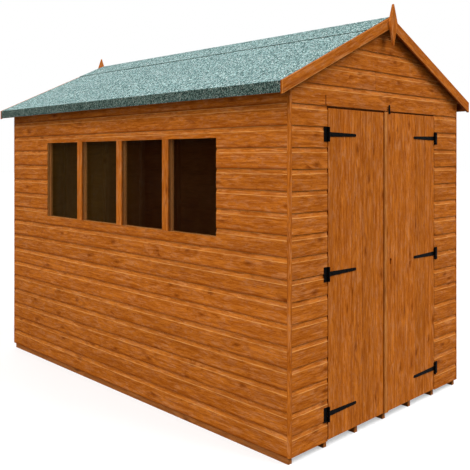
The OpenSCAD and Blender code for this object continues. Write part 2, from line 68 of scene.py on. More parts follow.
class Value:
    """One socket of a material graph. Arithmetic on it adds Math nodes."""

    def __init__(self, graph: "Graph", socket: bpy.types.NodeSocket) -> None:
        """Wrap an output socket of a graph."""
        self.graph = graph
        self.socket = socket

    def _math(self, operation: str, first: Operand, second: Operand) -> "Value":
        """Result of a Math node."""
        return self.graph.add("ShaderNodeMath", {"operation": operation}, {0: first, 1: second})

    def __add__(self, other: Operand) -> "Value":
        """Sum with a number or a value."""
        return self._math("ADD", self, other)

    def __radd__(self, other: Operand) -> "Value":
        """Sum with a number on the left."""
        return self._math("ADD", other, self)

    def __sub__(self, other: Operand) -> "Value":
        """Difference from a number or a value."""
        return self._math("SUBTRACT", self, other)

    def __rsub__(self, other: Operand) -> "Value":
        """Difference from a number on the left."""
        return self._math("SUBTRACT", other, self)

    def __mul__(self, other: Operand) -> "Value":
        """Product with a number or a value."""
        return self._math("MULTIPLY", self, other)

    def __rmul__(self, other: Operand) -> "Value":
        """Product with a number on the left."""
        return self._math("MULTIPLY", other, self)

    def __lt__(self, other: Operand) -> "Value":
        """One where this is less than the other, else zero."""
        return self._math("LESS_THAN", self, other)

    def sibling(self, out: Union[int, str]) -> "Value":
        """Another output of the same node."""
        return Value(self.graph, self.socket.node.outputs[out])

    def greater(self, other: Operand) -> "Value":
        """The greater of this and the other."""
        return self._math("MAXIMUM", self, other)

    def wave(self) -> "Value":
        """Sine of this value, brought to 0 to 1."""
        return self._math("SINE", self, 0.0) * 0.5 + 0.5

    def power(self, exponent: float) -> "Value":
        """This value to a power."""
        return self._math("POWER", self, exponent)

    def ramp(self, low: float, high: float, start: float = 0.0, end: float = 1.0) -> "Value":
        """Smooth step from start, at low and before it, to end, at high and after it."""
        stops = {0: self, 1: low, 2: high, 3: start, 4: end}
        return self.graph.add("ShaderNodeMapRange", {"interpolation_type": "SMOOTHSTEP"}, stops)


class Graph:
    """Node graph of one material or of the world."""

    def __init__(self, owner: Union[bpy.types.Material, bpy.types.World]) -> None:
        """Start an empty graph.

        Args:
            owner: The material or the world that the graph shades.
        """
        owner.use_nodes = True
        self.owner = owner
        self.tree = owner.node_tree
        self.tree.nodes.clear()

    @classmethod
    def material(cls, name: str) -> "Graph":
        """Start the graph of a new material."""
        return cls(bpy.data.materials.new(name))

    def node(self, kind: str, settings: Mapping[str, Any] = {},
             inputs: Mapping[Any, Operand] = {}) -> bpy.types.Node:
        """Add a node, set it up and feed its sockets.

        Args:
            kind: The node's type.
            settings: The node's own properties, set before its sockets.
            inputs: Numbers, colours, vectors or values by socket name or index.

        Returns:
            The node.
        """
        node = self.tree.nodes.new(kind)
        for key, setting in settings.items():
            setattr(node, key, setting)
        for key, operand in inputs.items():
            socket = node.inputs[key]
            if isinstance(operand, Value):
                self.tree.links.new(operand.socket, socket)
            elif isinstance(operand, (int, float)):
                socket.default_value = operand
            else:
                socket.default_value = (*operand, 1.0)[:len(socket.default_value)]
        return node

    def add(self, kind: str, settings: Mapping[str, Any] = {}, inputs: Mapping[Any, Operand] = {},
            out: Union[int, str] = 0) -> Value:
        """Add a node and take one of its outputs, by name or index."""
        return Value(self, self.node(kind, settings, inputs).outputs[out])

    def mix(self, factor: Operand, first: Operand, second: Operand, blend: str = "MIX") -> Value:
        """The first colour with a share of the second laid on it."""
        settings = {"data_type": "RGBA", "blend_type": blend, "clamp_factor": True}
        return self.add("ShaderNodeMix", settings, {0: factor, 6: first, 7: second}, 2)

    def shaded(self, colour: Value, level: Value) -> Value:
        """A colour made lighter or darker by a level."""
        grey = self.add("ShaderNodeCombineColor", {}, {0: level, 1: level, 2: level})
        return self.mix(1.0, colour, grey, "MULTIPLY")

    def vector(self, operation: str, first: Operand, second: Operand) -> Value:
        """Vector that a Vector Math node gives."""
        return self.add("ShaderNodeVectorMath", {"operation": operation}, {0: first, 1: second})

    def length(self, operand: Operand) -> Value:
        """Length of a vector."""
        return self.add("ShaderNodeVectorMath", {"operation": "LENGTH"}, {0: operand}, "Value")

    def noise(self, place: Operand, scale: Triple, detail: float = 2.0, rough: float = 0.5,
              warp: float = 0.0) -> Value:
        """Noise from 0 to 1.

        Args:
            place: Coordinates in metres.
            scale: Features per metre on each axis.
            detail: Number of finer layers.
            rough: Strength of the finer layers.
            warp: How far the noise bends itself.

        Returns:
            The noise.
        """
        inputs = {"Scale": 1.0, "Detail": detail, "Roughness": rough, "Distortion": warp}
        inputs["Vector"] = self.vector("MULTIPLY", place, scale)
        return self.add("ShaderNodeTexNoise", {}, inputs, "Fac")

    def object_place(self) -> Value:
        """Coordinates in the part's frame, which ride with the piece."""
        return self.add("ShaderNodeTexCoord", out="Object")

    def seen(self) -> Value:
        """1 for what is seen, straight or by reflection or through glass, and 0 for what only lights."""
        rays = self.add("ShaderNodeLightPath", out="Is Camera Ray")
        return rays.greater(rays.sibling("Is Glossy Ray")).greater(rays.sibling("Is Transmission Ray"))

    def attribute(self, name: str, out: str) -> Value:
        """A value stored on the mesh."""
        return self.add("ShaderNodeAttribute", {"attribute_name": name}, out=out)

    def bump(self, height: Value, distance: float) -> Value:
        """Normal that a height in 0 to 1 gives over a distance in metres."""
        return self.add("ShaderNodeBump", {}, {"Distance": distance, "Height": height})

    def surface(self, inputs: Mapping[str, Operand]) -> bpy.types.Material:
        """Close the graph with a principled surface, whose sockets are given by name."""
        self.node("ShaderNodeOutputMaterial", {}, {0: self.add("ShaderNodeBsdfPrincipled", {}, inputs)})
        return self.owner


class Grain(Enum):
    """Where a timber's grain coordinates come from: along, across, into the timber."""

    BOARD = "stored on the mesh"
    ALONG_X = (0, 1, 2)
    ALONG_Y = (1, 2, 0)
    ALONG_Z = (2, 0, 1)

    def place(self, graph: Graph) -> Value:
        """Grain coordinates.

        Args:
            graph: The graph to add nodes to.

        Returns:
            The coordinates in metres, along the grain first.
        """
        if self is Grain.BOARD:
            return graph.attribute("grain", "Vector")
        parts = graph.add("ShaderNodeSeparateXYZ", {}, {0: graph.object_place()})
        axes = {i: parts.sibling(axis) for i, axis in enumerate(self.value)}
        return graph.add("ShaderNodeCombineXYZ", {}, axes)


@dataclass(frozen=True)
class Timber:
    """Softwood under a translucent stain: fibre, growth rings, knots and a tone for each board."""

    name: str
    grain: Grain
    pale: Triple
    middle: Triple
    dark: Triple
    knot: Triple
    milky: Triple
    tone_spread: float = 0.12
    roughness: float = 0.62
    gloss: float = 0.012
    knot_share: float = 0.42
    knot_cells: Point = (2.6, 9.0)
    ring_strength: float = 0.42
    relief: float = 0.4 * MM
    # Painted shade mixed with stain collected in laps, joints, door gaps and round the keyhole.
    shade_and_gathered_stain: Triple = (0.17, 0.025, 0.0004)
    bare: Triple = (0.54, 0.25, 0.068)
    # Stain worn thin, also used as painted highlight and painted light on edges and in the scoops.
    worn: Triple = (0.74, 0.35, 0.10)

    def build(self) -> bpy.types.Material:
        """Make the material."""
        graph = Graph.material(self.name)
        place = self.grain.place(graph)
        hearts, smudges, swirl = self._knots(graph, place)
        drift = graph.noise(place, (0.30, 7.0, 7.0), 1.0)
        rings = ((drift * 8.0 + swirl * 0.9) * math.tau).wave().power(2.0)
        fibre = graph.noise(place, (11.0, 330.0, 330.0), 2.0, 0.6)
        streak = graph.noise(place, (7.0, 80.0, 80.0), 3.0, 0.7, 1.1)
        fleck = graph.noise(place, (17.0, 75.0, 75.0), 4.0, 0.65, 2.2)
        patch = graph.noise(place, (3.0, 12.0, 12.0), 3.0, 0.6, 0.6)
        blotch = graph.noise(place, (12.0, 34.0, 34.0), 4.0, 0.7, 1.0)
        figure = streak * 0.55 + fibre * 0.25 + patch * 0.2
        pale = graph.mix(blotch.ramp(0.44, 0.64), self.pale, self.milky)
        colour = graph.mix(figure.ramp(0.38, 0.62), self.middle, pale)
        colour = graph.mix(rings * patch.ramp(0.35, 0.6) * self.ring_strength, colour, self.dark)
        colour = graph.mix(fleck.ramp(0.54, 0.70, 0.0, 0.62), colour, self.dark)
        colour = graph.mix(fleck.ramp(0.42, 0.28, 0.0, 0.65), colour, pale)
        colour = graph.mix(smudges, colour, self.dark)
        colour = graph.mix(hearts, colour, self.knot)
        colour = self._weather(graph, colour, figure)
        level = self._tone(graph) * self.tone_spread + patch * 0.14 + (0.936 - self.tone_spread / 2)
        return graph.surface({
            "Base Color": graph.shaded(colour, level),
            "Roughness": figure * -0.1 + rings * 0.08 + self.roughness,
            "Normal": graph.bump(figure * 0.8 - fleck * 0.3 - hearts * 0.3, self.relief),
            "Specular IOR Level": self.gloss,
        })

    def _weather(self, graph: Graph, colour: Value, figure: Value) -> Value:
        """Painted shade with stain collected in the laps, joints and gaps, a painted highlight with stain
        worn thin on the edges, and stain missing on inner faces.

        Args:
            graph: The graph to add nodes to.
            colour: The timber's colour.
            figure: The grain's light and dark.

        Returns:
            The weathered colour.
        """
        if self.grain is not Grain.BOARD:
            return colour
        wear = graph.attribute("wear", "Fac")
        # Painted shade with collected stain where wear is below zero.
        colour = graph.mix(wear.ramp(0.0, -1.0, 0.0, 0.95), colour, self.shade_and_gathered_stain)
        # Painted highlight with stain worn thin where it is above zero, broken up by the figure.
        colour = graph.mix(wear.ramp(0.0, 1.0) * figure.ramp(0.40, 0.58, 0.45, 1.0), colour, self.worn)
        dull = tuple(0.55 * channel for channel in self.bare)
        return graph.mix(wear.ramp(1.0, 2.0), colour, graph.mix(figure.ramp(0.3, 0.6), dull, self.bare))

    def _tone(self, graph: Graph) -> Value:
        """Tone of the board, 0 to 1: stored on boards, random on each solid of a framing node."""
        if self.grain is Grain.BOARD:
            return graph.attribute("tone", "Fac")
        return graph.add("ShaderNodeNewGeometry", out="Random Per Island")

    def _knots(self, graph: Graph, place: Value) -> tuple[Value, Value, Value]:
        """Knots at true scale, one to a cell of timber and only in some cells.

        Args:
            graph: The graph to add nodes to.
            place: Grain coordinates in metres.

        Returns:
            Masks of the knots' hearts and of the smudges round them, and the swirl of the grain.
        """
        along, across = self.knot_cells
        scaled = graph.vector("MULTIPLY", place, (along, across, 0.0))
        seeds = graph.add("ShaderNodeTexVoronoi", {}, {"Vector": scaled, "Scale": 1.0}, "Position")
        offset = graph.vector("SUBTRACT", scaled, seeds)
        reach = graph.length(graph.vector("MULTIPLY", offset, (0.4 / along, 1.0 / across, 0.0)))
        chosen = graph.add("ShaderNodeSeparateColor", {}, {0: seeds.sibling("Color")}) < self.knot_share
        ragged = reach * (graph.noise(place, (26.0, 60.0, 60.0), 2.0, 0.6, 0.8) * 2.4 - 0.1)
        hearts = ragged.ramp(7 * MM, 2 * MM, 0.0, 0.3) * chosen
        smudges = ragged.ramp(21 * MM, 4 * MM, 0.0, 0.7) * chosen
        return hearts, smudges, reach.ramp(60 * MM, 8 * MM) * chosen


@dataclass(frozen=True)
class MineralFelt:
    """Green mineral roofing felt: granules and scuffs, darkened by painted shade where it turns down over the
    eaves and by bitumen and painted shade at the ridge strip's edges.
    """

    name: str
    pale: Triple = (0.34, 0.50, 0.49)
    middle: Triple = (0.086, 0.164, 0.160)
    dark: Triple = (0.014, 0.046, 0.043)
    spark: Triple = (0.86, 0.93, 0.91)
    # Multiplies the felt where it is darkened: painted shade on the turned-down eaves, bitumen and painted
    # shade on the ridge strip's edges.
    edge: Triple = (0.39, 0.38, 0.335)

    def build(self) -> bpy.types.Material:
        """Make the material."""
        graph = Graph.material(self.name)
        place = graph.object_place()
        clump = graph.noise(place, (60.0, 150.0, 125.0), 1.0, 0.7)
        grit = graph.noise(place, (420.0, 420.0, 420.0), 1.0, 0.6)
        mottle = graph.noise(place, (26.0, 72.0, 60.0), 0.0)
        sparks = graph.noise(place, (75.0, 210.0, 170.0), 0.0)
        patch = graph.noise(place, (2.4, 1.1, 2.4), 3.0, 0.55)
        grains = clump * 0.62 + grit * 0.2 + mottle * 0.18
        colour = graph.mix(grains.ramp(0.50, 0.59), self.middle, self.pale)
        colour = graph.mix(grains.ramp(0.50, 0.41), colour, self.dark)
        colour = graph.mix(sparks.ramp(0.66, 0.74, 0.0, 0.9), colour, self.spark)
        colour = graph.shaded(colour, patch * 0.20 + 0.90)
        shade_and_bitumen_colour = graph.mix(1.0, colour, self.edge, "MULTIPLY")
        return graph.surface({
            "Base Color": graph.mix(graph.attribute("fold", "Fac"), colour, shade_and_bitumen_colour),
            "Roughness": 0.92,
            "Normal": graph.bump(grains, 1.5 * MM),
            "Specular IOR Level": 0.05,
        })


@dataclass(frozen=True)
class BlackIron:
    """Steel under a coat of black japan: an orange-peel skin with a soft gloss."""

    name: str
    colour: Triple = (0.0007, 0.0007, 0.0007)
    worn: Triple = (0.005, 0.0048, 0.0046)

    def build(self) -> bpy.types.Material:
        """Make the material."""
        graph = Graph.material(self.name)
        place = graph.object_place()
        peel = graph.noise(place, (420.0, 420.0, 420.0), 2.0)
        scuff = graph.noise(place, (60.0, 60.0, 140.0), 3.0, 0.65)
        return graph.surface({
            "Base Color": graph.mix(scuff.ramp(0.58, 0.74), self.colour, self.worn),
            "Roughness": scuff * 0.18 + 0.36,
            "Normal": graph.bump(peel, 0.12 * MM),
            "Specular IOR Level": 0.02,
        })


@dataclass(frozen=True)
class WindowGlass:
    """Clear glass with a faint film of dust that lets the dark room show; the film is painted lighter and
    greener towards the back of the row, as painted light from the room behind.
    """

    name: str
    painted_lit_olive: Triple = (0.054, 0.026, 0.004)
    painted_dim_brown: Triple = (0.018, 0.003, 0.0002)
    clear: float = 0.26
    dusty: float = 0.40

    def build(self) -> bpy.types.Material:
        """Make the material."""
        graph = Graph.material(self.name)
        place = graph.object_place()
        dust = graph.noise(place, (5.0, 5.0, 3.0), 3.0)
        along = graph.add("ShaderNodeSeparateXYZ", {}, {0: place}, "Y")
        return graph.surface({
            # Painted light: the film lightens along the row towards the back, standing for the room's light
            # seen through.
            "Base Color": graph.mix((along + dust * 0.4).ramp(-0.1, 0.6), self.painted_dim_brown, self.painted_lit_olive),
            "Roughness": dust * 0.08 + 0.02,
            "Alpha": dust.ramp(0.35, 0.75, self.clear, self.dusty),
            "Specular IOR Level": 0.01,
        })


class Stain(Enum):
    """Stain that timber has taken up: its pale, middle, dark, knot and milky colours."""

    FULL = ((0.59, 0.174, 0.020), (0.345, 0.080, 0.005), (0.20, 0.038, 0.002),
            (0.105, 0.020, 0.0015), (0.58, 0.217, 0.068))
    STAINED = ((0.44, 0.145, 0.032), (0.29, 0.085, 0.016), (0.16, 0.042, 0.007),
               (0.06, 0.016, 0.004), (0.40, 0.16, 0.055))
    # Thin stain, made pale as painted light for the shaded window reveals.
    THIN = ((0.70, 0.30, 0.085), (0.58, 0.23, 0.060), (0.36, 0.12, 0.025),
            (0.12, 0.04, 0.010), (0.68, 0.33, 0.12))
    BARE = ((0.60, 0.33, 0.115), (0.46, 0.225, 0.066), (0.27, 0.11, 0.028),
            (0.10, 0.035, 0.010), (0.58, 0.35, 0.15))


class Palette:
    """The finishes of the shed, made once."""

    def __init__(self) -> None:
        """Make every finish but the sawn timbers."""
        self.cladding = Timber("stained_shiplap", Grain.BOARD, *Stain.FULL.value).build()
        self.felt = MineralFelt("mineral_felt").build()
        self.iron = BlackIron("black_japan").build()
        self.glass = WindowGlass("window_glass").build()

    def sawn(self, stain: Stain, grain: Grain) -> bpy.types.Material:
        """Make a sawn timber.

        Args:
            stain: The stain that it has taken up.
            grain: The way of its grain.

        Returns:
            The material.
        """
        name = f"sawn_{stain.name.lower()}_{grain.name.lower()}"
        return Timber(name, grain, *stain.value, roughness=0.8, gloss=0.05, relief=0.6 * MM).build()


@dataclass(frozen=True)
class ShedLines:
    """Levels and faces that several sub-assemblies share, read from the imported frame."""

    half_width: float
    half_length: float
    wall_end: float
    gable_end: float
    skirt: float
    eaves: float
    head: float
    roof_edge: float
    roof_end: float
    eaves_foot: float
    rise: float = math.tan(math.radians(25.0))
    deck_thickness: float = 12 * MM
    felt_thickness: float = 3 * MM

    @classmethod
    def read(cls) -> "ShedLines":
        """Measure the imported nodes."""
        wall_low, wall_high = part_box("right_wall")
        gable_low, gable_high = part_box("front_gable")
        felt_low, felt_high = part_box("right_felt")
        return cls(
            half_width=wall_high.x, half_length=-gable_low.y, wall_end=wall_high.y, gable_end=gable_high.x,
            skirt=wall_low.z, eaves=wall_high.z, head=gable_low.z,
            roof_edge=felt_high.x, roof_end=felt_high.y, eaves_foot=felt_low.z,
        )

    @property
    def slant(self) -> float:
        """Upright height of a layer on the slope, for each unit of its thickness."""
        return math.hypot(1.0, self.rise)

    def under_roof(self, x: float) -> float:
        """Height of the roof boards' underside at a distance from the ridge."""
        return self.eaves + (self.half_width - abs(x)) * self.rise

    def felt_top(self, x: float) -> float:
        """Height of the felt's top at a distance from the ridge."""
        return self.under_roof(x) + (self.deck_thickness + self.felt_thickness) * self.slant

    def gable_reach(self, z: float) -> float:
        """Half length of a gable board at a height, stopped by the corner beads and the slopes."""
        under_slope = self.half_width - (z - self.eaves) / self.rise
        return max(min(self.gable_end, under_slope - 1 * MM), 0.0)


def close_mesh(name: str, points: Sequence[Vector], faces: Sequence[Face], sharp_degrees: float,
               stored: Mapping[str, Sequence[float]] = {}) -> bpy.types.Mesh:
    """Make a closed mesh with its faces outward.

    Args:
        name: The mesh's name.
        points: Its points.
        faces: Its faces, as indices of points.
        sharp_degrees: Edges that turn further than this stay sharp.
        stored: Values kept on the points, one or three for each.

    Returns:
        The mesh.
    """
    mesh = bpy.data.meshes.new(name)
    mesh.from_pydata([tuple(p) for p in points], [], faces)
    for key, values in stored.items():
        kind, item = ("FLOAT", "value") if len(values) == len(points) else ("FLOAT_VECTOR", "vector")
        mesh.attributes.new(key, kind, "POINT").data.foreach_set(item, values)
    editable = bmesh.new()
    editable.from_mesh(mesh)
    bmesh.ops.recalc_face_normals(editable, faces=editable.faces)
    editable.to_mesh(mesh)
    editable.free()
    mesh.shade_smooth()
    mesh.set_sharp_from_angle(angle=math.radians(sharp_degrees))
    return mesh


def add_piece(mesh: bpy.types.Mesh, material: bpy.types.Material, slot: str, body: str,
              *stands_for: str) -> bpy.types.Object:
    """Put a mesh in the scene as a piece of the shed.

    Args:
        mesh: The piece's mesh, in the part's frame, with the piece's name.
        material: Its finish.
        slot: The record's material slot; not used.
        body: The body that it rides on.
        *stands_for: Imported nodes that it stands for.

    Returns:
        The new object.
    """
    piece = bpy.data.objects.new(mesh.name, mesh)
    bpy.context.scene.collection.objects.link(piece)
    mesh.materials.append(material)
    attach(piece, body)
    if stands_for:
        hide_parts(*stands_for)
    log.info("%s: %d faces on %s", mesh.name, len(mesh.polygons), body)
    return piece


def soften(piece: bpy.types.Object, width: float, segments: int = 2) -> None:
    """Round a piece's hard edges.

    Args:
        piece: The piece, whose own mesh stays as it is.
        width: Width of the rounding in metres.
        segments: Number of steps in the rounding.
    """
    weld = piece.modifiers.new("weld", "WELD")
    weld.merge_threshold = 0.02 * MM
    bevel = piece.modifiers.new("arris", "BEVEL")
    bevel.width = width
    bevel.segments = segments
    bevel.limit_method = "ANGLE"
    bevel.angle_limit = math.radians(40.0)
    normals = piece.modifiers.new("normals", "WEIGHTED_NORMAL")
    normals.keep_sharp = True


def dress_node(node: str, material: bpy.types.Material, arris: float = 0.0) -> None:
    """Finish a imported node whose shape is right.

    Args:
        node: The node's name.
        material: Its finish.
        arris: Width of the rounding on its edges in metres.
    """
    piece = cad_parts[node]
    piece.data.materials.clear()
    piece.data.materials.append(material)
    if arris:
        soften(piece, arris)
    log.info("%s: finished in %s", node, material.name)


@dataclass(frozen=True)
class Lie:
    """How a board lies: unit vectors along its grain and into it, and the seed of its figure."""

    run: Vector
    into: Vector
    seed: str


class BoardStack:
    """Collects boards and joins them into one mesh with grain coordinates.

    Wear and painted light is -1 for painted shade with stain collected in a lap, joint or gap, up to 1 for a
    painted highlight with stain worn thin on an edge, and 2 where the timber was never stained.
    """

    sharp_degrees: float = 28.0
    grain_reach: float = 60.0

    def __init__(self) -> None:
        """Start with no boards."""
        self.points: list[Vector] = []
        self.faces: list[Face] = []
        self.grain: list[float] = []
        self.tones: list[float] = []
        self.wear: list[float] = []

    def add(self, near: Sequence[Vector], far: Sequence[Vector], lie: Lie,
            wear: Sequence[float] = ()) -> None:
        """Add a board between two matching end outlines.

        Args:
            near: Outline of one end.
            far: The same points at the other end.
            lie: How the board lies.
            wear: Worn stain and painted light and shade of each point of the outline.
        """
        first = len(self.points)
        count = len(near)
        self._keep([*near, *far], lie)
        if wear:
            self.wear[first:] = [*wear, *wear]
        self.faces.append(tuple(range(first, first + count)))
        self.faces.append(tuple(reversed(range(first + count, first + 2 * count))))
        self._strip(first, first + count, count)

    def add_pierced(self, rings: Sequence[Sequence[Vector]], holes: Sequence[Sequence[Sequence[Vector]]],
                    lie: Lie, wear: Sequence[float]) -> None:
        """Add a board with holes through its face.

        Args:
            rings: The outline at each depth, from the face to the back.
            holes: For each hole, its outline at each depth, from the face to the back.
            lie: How the board lies.
            wear: Worn stain and painted light and shade of each ring, then of each ring of the holes.
        """
        first = len(self.points)
        loops: list[Sequence[Vector]] = []
        fronts, backs, strips = [], [], []
        for group in (rings, *holes):
            fronts.append(len(loops))
            strips += [(i, i + 1) for i in range(len(loops), len(loops) + len(group) - 1)]
            loops += group
            backs.append(len(loops) - 1)
        starts = [first]
        for loop in loops:
            starts.append(starts[-1] + len(loop))
        self._keep([point for loop in loops for point in loop], lie)
        self.wear[first:] = [worn for loop, worn in zip(loops, wear) for _ in loop]
        for layer in (fronts, backs):
            indices = [starts[loop] + i for loop in layer for i in range(len(loops[loop]))]
            for triangle in tessellate_polygon([loops[loop] for loop in layer]):
                self.faces.append(tuple(indices[i] for i in triangle))
        for a, b in strips:
            self._strip(starts[a], starts[b], len(loops[a]))

    def _strip(self, a: int, b: int, count: int) -> None:
        """Add a ring of faces between two loops of points, given by their first points."""
        pairs = [(i, (i + 1) % count) for i in range(count)]
        self.faces += [(a + i, a + j, b + j, b + i) for i, j in pairs]

    def _keep(self, points: Sequence[Vector], lie: Lie) -> None:
        """Store the points of a board.

        Args:
            points: The points.
            lie: How the board lies.
        """
        draw = random.Random(lie.seed)
        shift = [draw.uniform(0.0, self.grain_reach) for _ in range(3)]
        tone = draw.random()
        axes = (lie.run, lie.into.cross(lie.run), lie.into)
        for point in points:
            self.points.append(Vector(point))
            self.grain += [point.dot(axis) + start for axis, start in zip(axes, shift)]
            self.tones.append(tone)
            self.wear.append(0.0)

    def place(self, name: str, material: bpy.types.Material, slot: str, body: str,
              node: str) -> bpy.types.Object:
        """Put the joined boards in the scene as the piece that stands for a node.

        Args:
            name: The piece's name.
            material: Its finish.
            slot: The record's material slot.
            body: The body that it rides on.
            node: The node that it stands for.

        Returns:
            The piece, with grain, tone, and worn stain and painted light stored on its points.
        """
        stored = {"grain": self.grain, "tone": self.tones, "wear": self.wear}
        mesh = close_mesh(name, self.points, self.faces, self.sharp_degrees, stored)
        return add_piece(mesh, material, slot, body, node)


def clip_heights(outline: Sequence[Point], low: float, high: float) -> list[Point]:
    """Cut an outline to a band of heights.

    Args:
        outline: Points as depth and height.
        low: Lowest height kept.
        high: Greatest height kept.

    Returns:
        The outline of what is left.
    """
    kept = list(outline)
    for level, sign in ((low, 1.0), (high, -1.0)):
        source, kept = kept, []
        for i, here in enumerate(source):
            last = source[i - 1]
            inside, was_inside = (sign * (p[1] - level) >= 0.0 for p in (here, last))
            if inside != was_inside:
                share = (level - last[1]) / (here[1] - last[1])
                kept.append((last[0] + share * (here[0] - last[0]), level))
            if inside:
                kept.append(here)
    return kept


def block_ends(low: Vector, high: Vector, axis: int) -> list[list[Vector]]:
    """End outlines of a box.

    Args:
        low: Lowest corner.
        high: Highest corner.
        axis: The axis that the box runs along.

    Returns:
        The four corners at its start and at its end.
    """
    u, v = [i for i in range(3) if i != axis]
    ends: list[list[Vector]] = [[], []]
    for ring, stop in zip(ends, (low, high)):
        for a, b in ((low, low), (high, low), (high, high), (low, high)):
            point = stop.copy()
            point[u], point[v] = a[u], b[v]
            ring.append(point)
    return ends


def upright(outline: Iterable[Point], y: float) -> list[Vector]:
    """Points of an outline in (x, z) that stands at a place along the shed."""
    return [Vector((x, y, z)) for x, z in outline]


def arc(centre: Point, radius: float, start: float, end: float, steps: int) -> list[Point]:
    """Points along an arc between two angles in degrees, both ends included."""
    angles = [math.radians(start + i * (end - start) / steps) for i in range(steps + 1)]
    return [(centre[0] + radius * math.cos(a), centre[1] + radius * math.sin(a)) for a in angles]


@dataclass(frozen=True)
class Shiplap:
    """Section of a shiplap board: a flat face, a hollow scoop above it and a lip that laps the next scoop."""

    cover: float = 113.5 * MM
    thickness: float = 12 * MM
    scoop_height: float = 26 * MM
    scoop_depth: float = 5 * MM
    tongue: float = 7 * MM
    play: float = 0.6 * MM
    arris: float = 1.2 * MM
    scoop_steps: int = 8
    face_steps: int = 5
    # Painted light on the scoop: a painted highlight at its foot, painted light lifting its shaded hollow,
    # and painted shade with collected stain under the lip.
    worn_highlight_band: float = 4 * MM
    lap_shade_stain_band: float = 1 * MM
    lip_shade_and_stain: float = -0.65
    foot_wear: float = 0.75
    hollow_painted_light: float = 0.6

    def outline(self) -> list[Point]:
        """Whole section as depth and height over the course's foot."""
        flat_top = self.cover - self.scoop_height
        radius = (self.scoop_height ** 2 + self.scoop_depth ** 2) / (2 * self.scoop_depth)
        step = (flat_top - self.arris) / self.face_steps
        points = [(self.arris, 0.0)]
        points += [(0.0, self.arris + i * step) for i in range(self.face_steps)]
        points.append((0.0, flat_top - self.worn_highlight_band))
        for i in range(self.scoop_steps + 1):
            up = i * self.scoop_height / self.scoop_steps
            depth = self.scoop_depth - radius + math.sqrt(radius ** 2 - (self.scoop_height - up) ** 2)
            points.append((depth, flat_top + up))
        lip = self.scoop_depth - self.play
        shelf = self.tongue + self.play
        top = self.cover + self.tongue
        points += [(self.scoop_depth, top), (self.thickness, top)]
        return [*points, (self.thickness, shelf), (lip, shelf), (lip, 0.0)]

    def wear(self, depth: float, height: float) -> float:
        """Painted shade with collected stain at the top of the scoop and on the lip's arris, painted light in
        its hollow, and a painted highlight with stain worn thin at its foot.

        Args:
            depth: Depth of a point of the section.
            height: Its height over the course's foot.

        Returns:
            The point's worn stain and painted light.
        """
        if depth > self.scoop_depth:
            return 2.0
        if height <= self.arris:
            return self.lip_shade_and_stain
        up = height - (self.cover - self.scoop_height)
        # Painted shade with collected stain at the top of the scoop; painted light in the hollow; a painted
        # highlight with worn stain at the foot.
        if up > self.scoop_height - self.lap_shade_stain_band:
            return -1.0
        share = up / self.scoop_height
        hollow = self.hollow_painted_light * share * (1.0 - share)
        return max(hollow, self.foot_wear * (1.0 - abs(up) / self.worn_highlight_band), 0.0)


class Side(Enum):
    """Outer faces of the shed: the axis it faces along, and the sign of that direction."""

    LEFT = (0, -1)
    RIGHT = (0, 1)
    FRONT = (1, -1)
    BACK = (1, 1)

    def point(self, lines: ShedLines, depth: float, along: float, height: float) -> Vector:
        """A point under a face.

        Args:
            lines: The shed's levels and faces.
            depth: Distance in from the face.
            along: Place along the wall.
            height: Height over the ground.

        Returns:
            The point in the part's frame.
        """
        axis, sign = self.value
        point = Vector((along, along, height))
        point[axis] = sign * ((lines.half_width, lines.half_length)[axis] - depth)
        return point

    def lie(self, seed: str) -> Lie:
        """How a board with a seed lies on this face."""
        axis, sign = self.value
        return Lie((BACK, ACROSS)[axis], -sign * (ACROSS, BACK)[axis], seed)


@dataclass(frozen=True)
class CladRun:
    """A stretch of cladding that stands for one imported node, or for a solid of it."""

    node: str
    side: Side
    start: float
    end: float
    low: float
    high: float
    to_slopes: bool = False
    joints: Mapping[int, tuple[float, ...]] = field(default_factory=dict)


